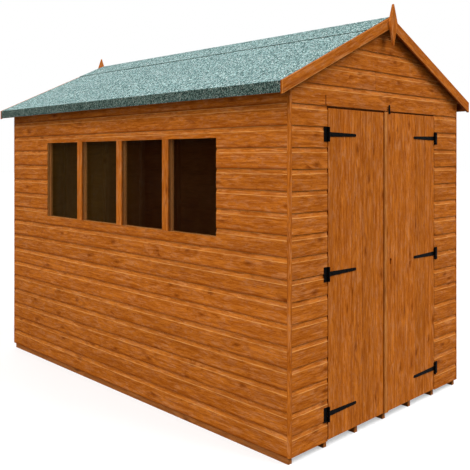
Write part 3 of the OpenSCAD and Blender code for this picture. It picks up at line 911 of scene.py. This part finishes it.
@dataclass
class Cladding:
    """Shiplap on the four walls, board by board."""

    lines: ShedLines
    material: bpy.types.Material
    board: Shiplap = Shiplap()
    # Share of the laps' painted shade and collected stain that the front keeps.
    front_stain: float = 0.3
    set_back: float = 0.5 * MM
    joint: float = 1.6 * MM
    pane_width: float = 434.5 * MM
    gable_joint: float = -0.112
    slit_x: float = -0.587
    slit_width: float = 9 * MM
    slit_height: float = 57 * MM

    def runs(self) -> list[CladRun]:
        """Every stretch of cladding, in the nodes' own bounds."""
        lines = self.lines
        sill, lintel, ends = (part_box(f"window_wall_{part}") for part in ("lower", "upper", "ends"))
        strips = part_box("window_cover_strips")
        window = (strips[0].y - self.pane_width, strips[1].y + self.pane_width)
        doorway = (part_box("front_wall_left")[1].x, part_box("front_wall_right")[0].x)
        ridge = lines.under_roof(0.0) - 2 * MM
        end, gable = lines.wall_end, lines.gable_end
        long_joints = {3: (0.31,), 6: (-0.62,), 11: (0.9,)}
        gable_joints = {self._head_course() + 1: (self.gable_joint,)}
        return [
            CladRun("window_wall_lower", Side.LEFT, -end, end, sill[0].z, sill[1].z),
            CladRun("window_wall_upper", Side.LEFT, -end, end, lintel[0].z, lintel[1].z),
            CladRun("window_wall_ends", Side.LEFT, -end, window[0], ends[0].z, ends[1].z),
            CladRun("window_wall_ends", Side.LEFT, window[1], end, ends[0].z, ends[1].z),
            CladRun("right_wall", Side.RIGHT, -end, end, lines.skirt, lines.eaves, joints=long_joints),
            CladRun("back_wall", Side.BACK, -gable, gable, lines.skirt, ridge, True),
            CladRun("front_wall_left", Side.FRONT, -gable, doorway[0], lines.skirt, lines.head),
            CladRun("front_wall_right", Side.FRONT, doorway[1], gable, lines.skirt, lines.head),
            CladRun("front_gable", Side.FRONT, -gable, gable, lines.head, ridge, True, gable_joints),
        ]

    def build(self) -> None:
        """Make one piece for each cladding node."""
        stacks: dict[str, BoardStack] = {}
        for run in self.runs():
            self._lay(stacks.setdefault(run.node, BoardStack()), run)
        for node, stack in stacks.items():
            stack.place(f"{node}_boards", self.material, "stained_timber", "shed", node)

    def _lay(self, stack: BoardStack, run: CladRun) -> None:
        """Lay the courses of one run.

        Args:
            stack: Where the boards go.
            run: The stretch to cover.
        """
        cover = self.board.cover
        top = cover + self.board.tongue
        first = math.floor((run.low - self.lines.skirt) / cover + 1e-3)
        last = math.ceil((run.high - self.lines.skirt) / cover - 1e-3)
        for course in range(first, last):
            foot = self.lines.skirt + course * cover
            section = clip_heights(self.board.outline(), max(run.low - foot, 0.0), min(run.high - foot, top))
            cuts = [run.start, *run.joints.get(course, ()), run.end]
            for piece, (start, end) in enumerate(zip(cuts, cuts[1:])):
                seed = f"{run.side.name}-{course}-{piece}"
                for left, right, low in self._spans(run, course, start, end):
                    shape = clip_heights(section, low, top) if low else section
                    self._board(stack, run, shape, foot, (left, right), seed)

    def _spans(self, run: CladRun, course: int, start: float, end: float) -> list[Triple]:
        """Stretches of one board: three where the saw overran the doorway's corner, or else one.

        Args:
            run: The stretch of cladding.
            course: The board's course.
            start: Where the board starts.
            end: Where it ends.

        Returns:
            Start, end and lowest height of each stretch.
        """
        left = start + (self.joint / 2 if start > run.start else 0.0)
        right = end - (self.joint / 2 if end < run.end else 0.0)
        if run.node != "front_gable" or course != self._head_course() or not left < self.slit_x < right:
            return [(left, right, 0.0)]
        near, far = self.slit_x - self.slit_width / 2, self.slit_x + self.slit_width / 2
        return [(left, near, 0.0), (near, far, self.slit_height), (far, right, 0.0)]

    def _head_course(self) -> int:
        """The course that stands on the door head."""
        return round((self.lines.head - self.lines.skirt) / self.board.cover)

    def _board(self, stack: BoardStack, run: CladRun, section: Sequence[Point], foot: float,
               span: Point, seed: str) -> None:
        """Add one board, its ends cut to the roof's slopes on a gable.

        Args:
            stack: Where the board goes.
            run: The stretch of cladding.
            section: The board's section over its foot.
            foot: Height of the course.
            span: Where the board starts and ends.
            seed: The board's own seed.
        """
        set_back = random.Random(seed + "set").uniform(0.0, 1.0) * self.set_back
        ends: list[list[Vector]] = [[], []]
        for depth, height in section:
            z = foot + height
            reach = self.lines.gable_reach(z) if run.to_slopes else math.inf
            stops = sorted((max(span[0], -reach), min(span[1], reach)))
            inset = depth + (set_back if depth < self.board.thickness else 0.0)
            for ring, stop in zip(ends, stops):
                ring.append(run.side.point(self.lines, inset, stop, z))
        wear = [self.board.wear(depth, height) for depth, height in section]
        # The front keeps less of the laps' painted shade.
        if run.side is Side.FRONT:
            wear = [max(value, value * self.front_stain) for value in wear]
        stack.add(*ends, run.side.lie(seed), wear)


@dataclass(frozen=True)
class Keyhole:
    """A round head over a slot that narrows, with painted shade round its edge."""

    centre: Point = (0.049, 0.957)
    radius: float = 6.5 * MM
    slot: float = 25 * MM
    neck: float = 8 * MM
    foot: float = 5 * MM
    # Reach of the painted shade round the hole.
    stain: float = 4.5 * MM
    shade_shares: Triple = (1.0, 0.6, 0.0)
    wear: tuple[float, ...] = (0.0, -1.0, -1.0, -1.0)
    steps: int = 20

    def outline(self, grow: float) -> list[Point]:
        """Outline of the hole.

        Args:
            grow: How far outside the hole's edge to draw it.

        Returns:
            Its points in (x, z).
        """
        x, z = self.centre
        radius = self.radius + grow
        lean = math.degrees(math.asin((self.neck / 2 + grow) / radius))
        low, half = z - self.slot - grow, self.foot / 2 + grow
        head = arc(self.centre, radius, lean - 90.0, 270.0 - lean, self.steps)
        return [*head, (x - half, low), (x + half, low)]


@dataclass
class DoorLeaf:
    """One boarded leaf: upright matchboards with fine V joints."""

    node: str
    body: str
    material: bpy.types.Material
    sag: float
    keyhole: Union[Keyhole, None] = None
    boards: int = 5
    vee: float = 1.3 * MM
    joint: float = 0.5 * MM
    # Painted shade with collected stain on the boards' edges, darkening the V joints and the gaps round the
    # leaf; the back is bare.
    ring_wear_and_shade: tuple[float, ...] = (0.0, -0.8, -1.0, 2.0)

    def build(self) -> None:
        """Make the leaf."""
        low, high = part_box(self.node)
        high.z -= self.sag
        width = (high.x - low.x) / self.boards
        stack = BoardStack()
        for i in range(self.boards):
            left = low.x + i * width + (self.joint / 2 if i else 0.0)
            right = low.x + (i + 1) * width - (self.joint / 2 if i < self.boards - 1 else 0.0)
            corners = Vector((left, low.y, low.z)), Vector((right, high.y, high.z))
            self._board(stack, *corners, f"{self.node}-board-{i}")
        stack.place(f"{self.node}_boards", self.material, "stained_timber", self.body, self.node)

    def _board(self, stack: BoardStack, low: Vector, high: Vector, seed: str) -> None:
        """Add one matchboard, with the keyhole if it falls in it.

        Args:
            stack: Where the board goes.
            low: Its lowest corner.
            high: Its highest corner.
            seed: The board's own seed.
        """
        rings = []
        depths = (low.y, self.vee), (low.y + self.vee, 0.0), (high.y - self.joint, 0.0), (high.y, self.joint)
        for y, inset in depths:
            left, right, foot, top = low.x + inset, high.x - inset, low.z + inset, high.z - inset
            rings.append(upright([(left, foot), (right, foot), (right, top), (left, top)], y))
        holes = []
        wear = self.ring_wear_and_shade
        hole = self.keyhole
        if hole and low.x < hole.centre[0] < high.x:
            # Rings round the hole that carry its painted shade out over the face.
            levels = [*((low.y, hole.stain * share) for share in hole.shade_shares), (high.y, 0.0)]
            holes.append([upright(hole.outline(grow), y) for y, grow in levels])
            wear += hole.wear
        stack.add_pierced(rings, holes, Lie(UP, BACK, seed), wear)


@dataclass
class Trim:
    """Stained trim: bargeboards, finials, corner beads and cover strips."""

    lines: ShedLines
    material: bpy.types.Material
    arris: float = 1.6 * MM
    bead_arris: float = 0.8 * MM
    bead_radius: float = 9 * MM
    bead_width: float = 18 * MM
    bead_edge: float = 3 * MM
    bead_steps: int = 8
    bead_wear: Point = (-0.12, -0.5)
    barge_depth: float = 67 * MM
    # Width of the painted highlight with worn stain along a front bargeboard's edges.
    barge_worn_highlight_band: float = 6 * MM
    # Front bargeboards: face, painted highlight with worn stain at its edges, painted shade at the back.
    barge_wear: Triple = (0.0, 0.6, -1.0)
    barge_plain: Triple = (0.0, 0.0, 0.0)
    # Door strip's corners: lighter along its left side, a little darker along its right.
    strip_wear: tuple[float, ...] = (0.55, -0.1, -0.1, 0.4)
    window_bar: float = 60 * MM
    finial_half: float = 40 * MM
    finial_shoulder: float = 143 * MM

    def build(self) -> None:
        """Make every piece of trim."""
        self._bargeboards()
        self._finials()
        self._corner_beads()
        self._strips("window_cover_strips", "shed", 3)
        self._strips("door_cover_strip", "right_leaf", 1, self.strip_wear)

    def _finish(self, node: str, stack: BoardStack, body: str = "shed") -> None:
        """Turn a stack into the piece that stands for a node."""
        soften(stack.place(f"{node}_timber", self.material, "stained_timber", body, node), self.arris)

    def _bargeboards(self) -> None:
        """Sloping boards over the gable ends, plumb cut at both ends. The front pair carry a painted
        highlight with worn stain along their faces' edges and painted shade towards their backs.
        """
        end = self.lines.roof_end
        for node, sign in (("left_bargeboards", -1), ("right_bargeboards", 1)):
            low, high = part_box(node)
            run = Vector((sign, 0, -self.lines.rise)).normalized()
            stack = BoardStack()
            ends = ("front", low.y, -end, self.barge_wear), ("back", high.y, end, self.barge_plain)
            for name, face, back, wear in ends:
                depths = (self.barge_worn_highlight_band, face), (0.0, face), (0.0, back)
                rings = [upright(self._barge_outline(sign, inset), y) for inset, y in depths]
                stack.add_pierced(rings, [], Lie(run, BACK, f"{node}-{name}"), wear)
            self._finish(node, stack)

    def _barge_outline(self, sign: int, inset: float) -> list[Point]:
        """Face of a bargeboard, drawn in from its long edges and a hair from its ends.

        Args:
            sign: -1 for the left slope, 1 for the right.
            inset: How far to draw it in.

        Returns:
            Its corners in (x, z).
        """
        hair = 0.05 * inset
        tops = [(sign * x, self.lines.felt_top(x) - inset) for x in (hair, self.lines.roof_edge - hair)]
        return [*tops, *((x, z - self.barge_depth + 2 * inset) for x, z in reversed(tops))]

    def _finials(self) -> None:
        """Kite-shaped finials at the ridge ends."""
        low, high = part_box("finials")
        shoulder = low.z + self.finial_shoulder
        outline = [(0.0, low.z), (self.finial_half, shoulder), (0.0, high.z), (-self.finial_half, shoulder)]
        stack = BoardStack()
        front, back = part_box("left_bargeboards")[0].y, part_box("right_bargeboards")[1].y
        for name, near, far in (("front", low.y, front), ("back", back, high.y)):
            stack.add(upright(outline, near), upright(outline, far), Lie(UP, BACK, f"finial-{name}"))
        self._finish("finials", stack)

    def _corner_beads(self) -> None:
        """Angle beads with a round outer edge at the four corners."""
        low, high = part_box("corner_beads")
        board, radius, width = Shiplap.thickness, self.bead_radius, self.bead_width
        edge = width - self.bead_edge
        section = [(0.0, edge), *arc((radius, radius), radius, 180.0, 270.0, self.bead_steps), (edge, 0.0)]
        face, side = self.bead_wear
        wear = [face] * len(section) + [side, side, 0.0, side, side]
        section += [(width, 0.0), (width, board), (board, board), (board, width), (0.0, width)]
        stack = BoardStack()
        for sx, sy in ((-1, -1), (-1, 1), (1, -1), (1, 1)):
            plan = [(sx * (high.x - a), sy * (high.y - b)) for a, b in section]
            ends = [[Vector((x, y, z)) for x, y in plan] for z in (low.z, high.z)]
            stack.add(*ends, Lie(UP, -sy * BACK, f"corner{sx}{sy}"), wear)
        piece = stack.place("corner_bead_timber", self.material, "stained_timber", "shed", "corner_beads")
        soften(piece, self.bead_arris, 1)

    def _strips(self, node: str, body: str, count: int, wear: Sequence[float] = ()) -> None:
        """Flat strips: several side by side on the window wall, or one on a door.

        Args:
            node: The node that the strips stand for.
            body: The body that they ride on.
            count: Number of strips.
            wear: Lighter and darker tones of the corners of a strip's section.
        """
        low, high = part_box(node)
        axis, into = (1, ACROSS) if count > 1 else (0, BACK)
        width = self.window_bar if count > 1 else high[axis] - low[axis]
        pitch = (high[axis] - low[axis] - width) / max(count - 1, 1)
        stack = BoardStack()
        for i in range(count):
            a, b = low.copy(), high.copy()
            a[axis] = low[axis] + i * pitch
            b[axis] = a[axis] + width
            stack.add(*block_ends(a, b, 2), Lie(UP, into, f"{node}-{i}"), wear)
        self._finish(node, stack, body)


@dataclass
class RoofFelt:
    """Mineral felt on both slopes, turned down over the eaves, with a strip over the ridge."""

    lines: ShedLines
    material: bpy.types.Material
    bend: float = 7 * MM
    bend_steps: int = 6
    slope_steps: int = 46
    drop_steps: int = 5
    length_steps: int = 150
    shade_gain: float = 1.4
    ripple: float = 0.9 * MM
    ripple_cells: Triple = (3.1, 2.3, 7.0)
    ripple_level: float = 0.2
    fine_ripple: Point = (5.0, 0.35)
    ragged: float = 1.6 * MM
    ragged_cells: float = 6.0
    sheet_share: float = 0.9
    ridge_reach: float = 247 * MM
    ridge_steps: int = 14
    ridge_soft: Point = (1.2 * MM, 14 * MM)
    # Darkening of the ridge strip: faint over its middle, bitumen and painted shade at its edges.
    ridge_shade_and_bitumen: Point = (0.08, 0.9)
    edge_width: float = 9 * MM
    edge_step: float = 2 * MM
    sharp_degrees: float = 40.0

    def build(self) -> None:
        """Lay the felt."""
        self._sheet("left_felt", self._slope_path(-1), -1)
        self._sheet("right_felt", self._slope_path(1), 1)
        self._sheet("ridge_felt", self._ridge_path(), 0)

    def _slope_path(self, sign: int) -> list[tuple[Vector, float]]:
        """Line of the felt's top from the ridge to its turned-down foot.

        Args:
            sign: -1 for the left slope, 1 for the right.

        Returns:
            Points in (x, z) with the painted shade on each, 0 to 1, which grows as the felt turns down.
        """
        lines, edge = self.lines, self.lines.roof_edge
        slope = math.atan(lines.rise)
        turn = math.pi / 2 - slope
        tangent = self.bend * math.tan(turn / 2)
        top = lines.felt_top(edge) - tangent
        last = edge - tangent * math.cos(slope)
        path = []
        for i in range(self.slope_steps + 1):
            x = last * i / self.slope_steps
            path.append((Vector((sign * x, lines.felt_top(x))), 0.0))
        # The bend and the drop carry painted shade, growing through the bend to full on the drop.
        for i in range(1, self.bend_steps + 1):
            share = i / self.bend_steps
            angle = turn * (1.0 - share)
            x, z = edge - self.bend + self.bend * math.cos(angle), top + self.bend * math.sin(angle)
            path.append((Vector((sign * x, z)), min(share * self.shade_gain, 1.0)))
        for i in range(1, self.drop_steps + 1):
            z = top + (lines.eaves_foot - top) * i / self.drop_steps
            path.append((Vector((sign * edge, z)), 1.0))
        return path

    def _ridge_path(self) -> list[tuple[Vector, float]]:
        """Line of the ridge strip's top, bent softly over the ridge, with its edges darkened as bitumen and
        as painted shade.
        """
        lift = self.lines.felt_thickness * self.lines.slant
        inner = self.ridge_reach - self.edge_width
        outer = inner + self.edge_step
        stops = [inner * i / self.ridge_steps for i in range(-self.ridge_steps, self.ridge_steps + 1)]
        depth, spread = self.ridge_soft
        path = []
        for x in (-self.ridge_reach, -outer, *stops, outer, self.ridge_reach):
            z = self.lines.felt_top(x) + lift - depth * math.exp(-abs(x) / spread)
            # Painted shade with bitumen on the strip's edges, and a faint darkening over the rest.
            path.append((Vector((x, z)), self.ridge_shade_and_bitumen[abs(x) > inner]))
        return path

    def _spot(self, path: Sequence[tuple[Vector, float]], i: int, y: float, sign: int, layer: int) -> Vector:
        """A point of a sheet, with the felt's ripple and ragged edge.

        Args:
            path: Points of the sheet's top, with their painted shade and bitumen darkening.
            i: Which point of the path.
            y: Place along the roof.
            sign: Which slope the sheet lies on, or 0 for the ridge strip.
            layer: 0 on top, 1 underneath.

        Returns:
            The point in the part's frame.
        """
        last = len(path) - 1
        spot = path[i][0]
        way = (path[min(i + 1, last)][0] - path[max(i - 1, 0)][0]).normalized()
        out = Vector((-way.y, way.x)) if way.x >= 0 else Vector((way.y, -way.x))
        if abs(way.x) < 1e-6:
            out = Vector((float(sign), 0.0))
        across, along, apart = self.ripple_cells
        place = Vector((spot.x * across, y * along, apart * sign))
        finer, share = self.fine_ripple
        wave = min(noise.noise(place) - self.ripple_level + share * noise.noise(place * finer), 0.0)
        spot = spot + out * wave * self.ripple * (1.0 - layer)
        if i == last or (sign == 0 and i == 0):
            spot = spot + way * noise.noise(Vector((y * self.ragged_cells, i, sign))) * self.ragged
        spot = spot - out * self.lines.felt_thickness * self.sheet_share * layer
        return Vector((spot.x, y, spot.y))

    def _sheet(self, node: str, path: Sequence[tuple[Vector, float]], sign: int) -> None:
        """Sweep a path along the roof as a thin closed sheet.

        Args:
            node: The node that the sheet stands for.
            path: Points of the sheet's top in (x, z), with their painted shade and bitumen darkening.
            sign: Which slope it lies on, or 0 for the ridge strip.
        """
        count, rows, end = len(path), self.length_steps + 1, self.lines.roof_end
        stations = [-end + 2 * end * j / self.length_steps for j in range(rows)]
        points = [
            self._spot(path, i, y, sign, layer) for layer in (0, 1) for y in stations for i in range(count)
        ]
        under = rows * count
        faces: list[Face] = []
        for start in range(0, under - count, count):
            for a in range(start, start + count - 1):
                quad = (a, a + 1, a + count + 1, a + count)
                faces += [quad, tuple(k + under for k in reversed(quad))]
            for a in (start, start + count - 1):
                faces.append((a, a + count, a + count + under, a + under))
        for start in (0, under - count):
            faces += [(a, a + 1, a + 1 + under, a + under) for a in range(start, start + count - 1)]
        shade_and_bitumen_values = [fold for _, fold in path] * (2 * rows)
        mesh = close_mesh(f"{node}_sheet", points, faces, self.sharp_degrees, {"fold": shade_and_bitumen_values})
        add_piece(mesh, self.material, "roof_felt", "shed", node)


@dataclass
class Boarding:
    """Boards of the floor and of the roof under the felt."""

    lines: ShedLines
    material: bpy.types.Material
    width: float = 120 * MM
    joint: float = 1.0 * MM
    arris: float = 0.8 * MM

    def build(self) -> None:
        """Lay the floor and both slopes."""
        self._floor()
        self._slope("left_roof", -1)
        self._slope("right_roof", 1)

    def _stations(self, start: float, end: float) -> Iterable[tuple[int, float, float]]:
        """Boards laid side by side between two places.

        Args:
            start: Where the first board starts.
            end: Where the last one ends.

        Yields:
            Index, start and end of each board.
        """
        count = round((end - start) / self.width)
        step = (end - start) / count
        for i in range(count):
            yield i, start + i * step + self.joint / 2, start + (i + 1) * step - self.joint / 2

    def _finish(self, name: str, stack: BoardStack, node: str) -> None:
        """Turn a stack into the piece that stands for a node."""
        soften(stack.place(name, self.material, "framing_timber", "shed", node), self.arris, 1)

    def _floor(self) -> None:
        """Floor boards across the joists."""
        low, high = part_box("floor_deck")
        stack = BoardStack()
        for i, near, far in self._stations(low.y, high.y):
            ends = block_ends(Vector((low.x, near, low.z)), Vector((high.x, far, high.z)), 0)
            stack.add(*ends, Lie(ACROSS, -UP, f"floor-{i}"))
        self._finish("floor_boards", stack, "floor_deck")

    def _slope(self, node: str, sign: int) -> None:
        """Roof boards that run down one slope.

        Args:
            node: The slope's node.
            sign: -1 for the left slope, 1 for the right.
        """
        low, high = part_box(node)
        edge = low.x if sign < 0 else high.x
        lift = self.lines.deck_thickness * self.lines.slant
        feet = [(x, self.lines.under_roof(x)) for x in (0.0, edge)]
        outline = [*feet, *((x, z + lift) for x, z in reversed(feet))]
        run = Vector((sign, 0, -self.lines.rise)).normalized()
        into = Vector((run.z * sign, 0, abs(run.x)))
        stack = BoardStack()
        for i, near, far in self._stations(low.y, high.y):
            stack.add(upright(outline, near), upright(outline, far), Lie(run, into, f"{node}-{i}"))
        self._finish(f"{node}_boards", stack, node)


@dataclass
class Framing:
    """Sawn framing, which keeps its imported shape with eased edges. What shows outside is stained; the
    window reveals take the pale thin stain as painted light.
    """

    palette: Palette
    arris: float = 1.5 * MM
    nodes: Mapping[tuple[Stain, Grain], tuple[str, ...]] = field(default_factory=lambda: {
        (Stain.STAINED, Grain.ALONG_Y): ("floor_joists", "window_wall_rails", "eaves_boards"),
        (Stain.STAINED, Grain.ALONG_Z): ("front_wall_studs", "door_stops"),
        # The reveals' studs and beads: pale thin stain as painted light.
        (Stain.THIN, Grain.ALONG_Z): ("window_wall_studs", "window_beads"),
        (Stain.BARE, Grain.ALONG_X): (
            "back_wall_rails", "front_wall_rails", "left_door_ledges", "right_door_ledges",
        ),
        (Stain.BARE, Grain.ALONG_Y): ("right_wall_rails", "purlins"),
        (Stain.BARE, Grain.ALONG_Z): (
            "right_wall_studs", "back_wall_studs", "left_door_braces", "right_door_braces",
        ),
    })

    def build(self) -> None:
        """Finish every framing node."""
        for look, names in self.nodes.items():
            material = self.palette.sawn(*look)
            for name in names:
                dress_node(name, material, self.arris)


@dataclass
class Ironwork:
    """Black T-hinges, lock, turn button, and the screws that hold the hinges."""

    lines: ShedLines
    material: bpy.types.Material
    arris: float = 0.7 * MM
    nodes: tuple[str, ...] = (
        "hinge_plates", "left_hinge_straps", "right_hinge_straps", "right_door_fittings", "turn_button",
    )
    screw_radius: float = 4.2 * MM
    screw_rise: float = 1.3 * MM
    screw_sides: int = 24
    dome: tuple[Point, ...] = ((1.0, 0.0), (0.98, 0.45), (0.78, 0.82), (0.45, 1.0))
    cross: Triple = (0.42, 0.16, 0.4)
    sharp_degrees: float = 35.0
    metal: float = 3 * MM
    pin: float = 0.569
    levels: Triple = (0.185, 0.943, 1.701)
    plate_spots: tuple[Point, ...] = ((-26 * MM, -29 * MM), (-26 * MM, 29 * MM), (-22 * MM, 0.0))
    strap_spots: tuple[Point, ...] = ((34 * MM, 0.0), (100 * MM, 0.0), (168 * MM, 0.0), (236 * MM, 0.0))

    def build(self) -> None:
        """Finish the iron nodes and add the screws."""
        for node in self.nodes:
            dress_node(node, self.material, self.arris)
        self._screws("hinge_plate_screws", "shed", (-1, 1), self.plate_spots)
        self._screws("left_strap_screws", "left_leaf", (-1,), self.strap_spots)
        self._screws("right_strap_screws", "right_leaf", (1,), self.strap_spots)

    def _screws(self, name: str, body: str, signs: Sequence[int], spots: Sequence[Point]) -> None:
        """Domed screws with a cross recess, as one piece.

        Args:
            name: The piece's name.
            body: The body that they ride on.
            signs: -1 for the left hinges, 1 for the right ones.
            spots: Their places on one hinge, in from the pin and up.
        """
        points: list[Vector] = []
        faces: list[Face] = []
        for sign in signs:
            for level in self.levels:
                for inward, up in spots:
                    x, z = sign * (self.pin - inward), up + level
                    turn = random.Random(f"{x:.3f}{z:.3f}").uniform(0.0, 1.5)
                    self._screw(points, faces, Vector((x, -self.lines.half_length - self.metal, z)), turn)
        mesh = close_mesh(name, points, faces, self.sharp_degrees)
        add_piece(mesh, self.material, "black_iron", body)

    def _screw(self, points: list[Vector], faces: list[Face], spot: Vector, turn: float) -> None:
        """Add one screw head: rings that rise to a dome, with a sunk cross.

        Args:
            points: The points to add to.
            faces: The faces to add to.
            spot: Middle of the head's foot on the iron.
            turn: Turn of the cross in radians.
        """
        first, sides = len(points), self.screw_sides
        arm, core, sunk = self.cross
        rings = [([share] * sides, rise) for share, rise in self.dome]
        rings.append(([arm if i % 6 in (0, 1, 5) else core for i in range(sides)], sunk))
        for shares, rise in rings:
            for i, share in enumerate(shares):
                angle, reach = turn + math.tau * i / sides, share * self.screw_radius
                offset = (reach * math.cos(angle), -rise * self.screw_rise, reach * math.sin(angle))
                points.append(spot + Vector(offset))
        last = first + len(self.dome) * sides
        for a in range(first, last, sides):
            for i in range(sides):
                j = (i + 1) % sides
                faces.append((a + i, a + j, a + sides + j, a + sides + i))
        faces.append(tuple(range(last, last + sides)))
        faces.append(tuple(reversed(range(first, first + sides))))


@dataclass
class Glazing:
    """The row of fixed panes."""

    material: bpy.types.Material

    def build(self) -> None:
        """Finish the panes."""
        dress_node("window_panes", self.material)


@dataclass(frozen=True)
class Lamp:
    """A broad far lamp."""

    name: str
    source: Triple
    energy: float
    spread_degrees: float

    def build(self) -> None:
        """Put the lamp in the scene."""
        data = bpy.data.lights.new(self.name, "SUN")
        data.energy = self.energy
        data.angle = math.radians(self.spread_degrees)
        lamp = bpy.data.objects.new(self.name, data)
        lamp.rotation_euler = Vector(self.source).to_track_quat("Z", "Y").to_euler()
        bpy.context.scene.collection.objects.link(lamp)


@dataclass(frozen=True)
class SoftBox:
    """A square panel of light close to the shed."""

    name: str
    place: Triple
    aim: Triple
    side: float
    power: float

    def build(self) -> None:
        """Put the panel in the scene, out of the camera's sight."""
        data = bpy.data.lights.new(self.name, "AREA")
        data.energy = self.power
        data.size = self.side
        panel = bpy.data.objects.new(self.name, data)
        panel.location = self.place
        panel.rotation_euler = (Vector(self.place) - Vector(self.aim)).to_track_quat("Z", "Y").to_euler()
        panel.visible_camera = False
        bpy.context.scene.collection.objects.link(panel)


@dataclass
class Studio:
    """Camera at the photograph's angle, soft light and a white floor."""

    eye: Triple = (-3.462, -3.7435, 1.574)
    look: Triple = (0.70026, 0.71402, 0.0)
    sensor: float = 36.0
    frame_pixels: float = 470.0
    focal_pixels: float = 668.0
    horizon_row: float = 157.7
    far_clip: float = 500.0
    sky: float = 0.24
    lamps: tuple[Union[Lamp, SoftBox], ...] = (
        Lamp("window_side", (-0.69, -0.12, 0.79), 2.5, 55.0),
        Lamp("door_side", (0.50, -0.68, 0.82), 3.0, 40.0),
        Lamp("back_fill", (0.20, 0.86, 0.46), 1.0, 60.0),
        SoftBox("reveal_fill", (-4.8, -1.6, 1.9), (-0.885, 0.9, 1.4), 2.0, 42.0),
    )
    floor_side: float = 120.0
    floor_shown: Triple = (0.60, 0.60, 0.60)
    floor_glow: float = 0.42
    floor_lit: Triple = (0.10, 0.10, 0.10)

    def build(self) -> None:
        """Set up the camera, the lights and the floor."""
        self._camera()
        self._sky()
        for lamp in self.lamps:
            lamp.build()
        self._floor()
        bpy.context.scene.view_settings.view_transform = "Standard"

    def _camera(self) -> None:
        """Camera that holds uprights upright, with the horizon where the photograph has it."""
        data = bpy.data.cameras.new("camera")
        data.sensor_width = self.sensor
        data.lens = self.sensor * self.focal_pixels / self.frame_pixels
        data.shift_y = (self.horizon_row - self.frame_pixels / 2) / self.frame_pixels
        data.clip_end = self.far_clip
        camera = bpy.data.objects.new("camera", data)
        camera.location = self.eye
        camera.rotation_euler = Vector(self.look).to_track_quat("-Z", "Y").to_euler()
        bpy.context.scene.collection.objects.link(camera)
        bpy.context.scene.camera = camera

    def _sky(self) -> None:
        """Sky that is white where it is seen and lights the shed softly."""
        world = bpy.data.worlds.new("sky")
        graph = Graph(world)
        lit = graph.add("ShaderNodeBackground", {}, {"Color": WHITE, "Strength": self.sky})
        shown = graph.add("ShaderNodeBackground", {}, {"Color": WHITE, "Strength": 1.0})
        blend = graph.add("ShaderNodeMixShader", {}, {0: graph.seen(), 1: lit, 2: shown})
        graph.node("ShaderNodeOutputWorld", {}, {"Surface": blend})
        bpy.context.scene.world = world

    def _floor(self) -> None:
        """Wide white floor that keeps the shed's shadow."""
        half = self.floor_side / 2
        mesh = bpy.data.meshes.new("studio_floor")
        corners = [(-half, -half, 0), (half, -half, 0), (half, half, 0), (-half, half, 0)]
        mesh.from_pydata(corners, [], [(0, 1, 2, 3)])
        graph = Graph.material("studio_floor")
        seen = graph.seen()
        mesh.materials.append(graph.surface({
            "Base Color": graph.mix(seen, self.floor_lit, self.floor_shown),
            "Emission Color": graph.mix(seen, BLACK, WHITE),
            "Emission Strength": self.floor_glow,
            "Roughness": 1.0,
            "Specular IOR Level": 0.0,
        }))
        floor = bpy.data.objects.new("studio_floor", mesh)
        bpy.context.scene.collection.objects.link(floor)


def main() -> None:
    """Build and dress the shed, one sub-assembly after another."""
    logging.basicConfig(level=logging.INFO, format="%(name)s %(message)s")
    lines = ShedLines.read()
    palette = Palette()
    parts: list[Any] = [
        Studio(),
        Cladding(lines, palette.cladding),
        DoorLeaf("left_door", "left_leaf", palette.cladding, 6 * MM),
        DoorLeaf("right_door", "right_leaf", palette.cladding, 3 * MM, Keyhole()),
        Trim(lines, palette.cladding),
        RoofFelt(lines, palette.felt),
        Boarding(lines, palette.sawn(Stain.BARE, Grain.BOARD)),
        Framing(palette),
        Ironwork(lines, palette.iron),
        Glazing(palette.glass),
    ]
    for part in parts:
        part.build()


if __name__ == "__main__":
    main()
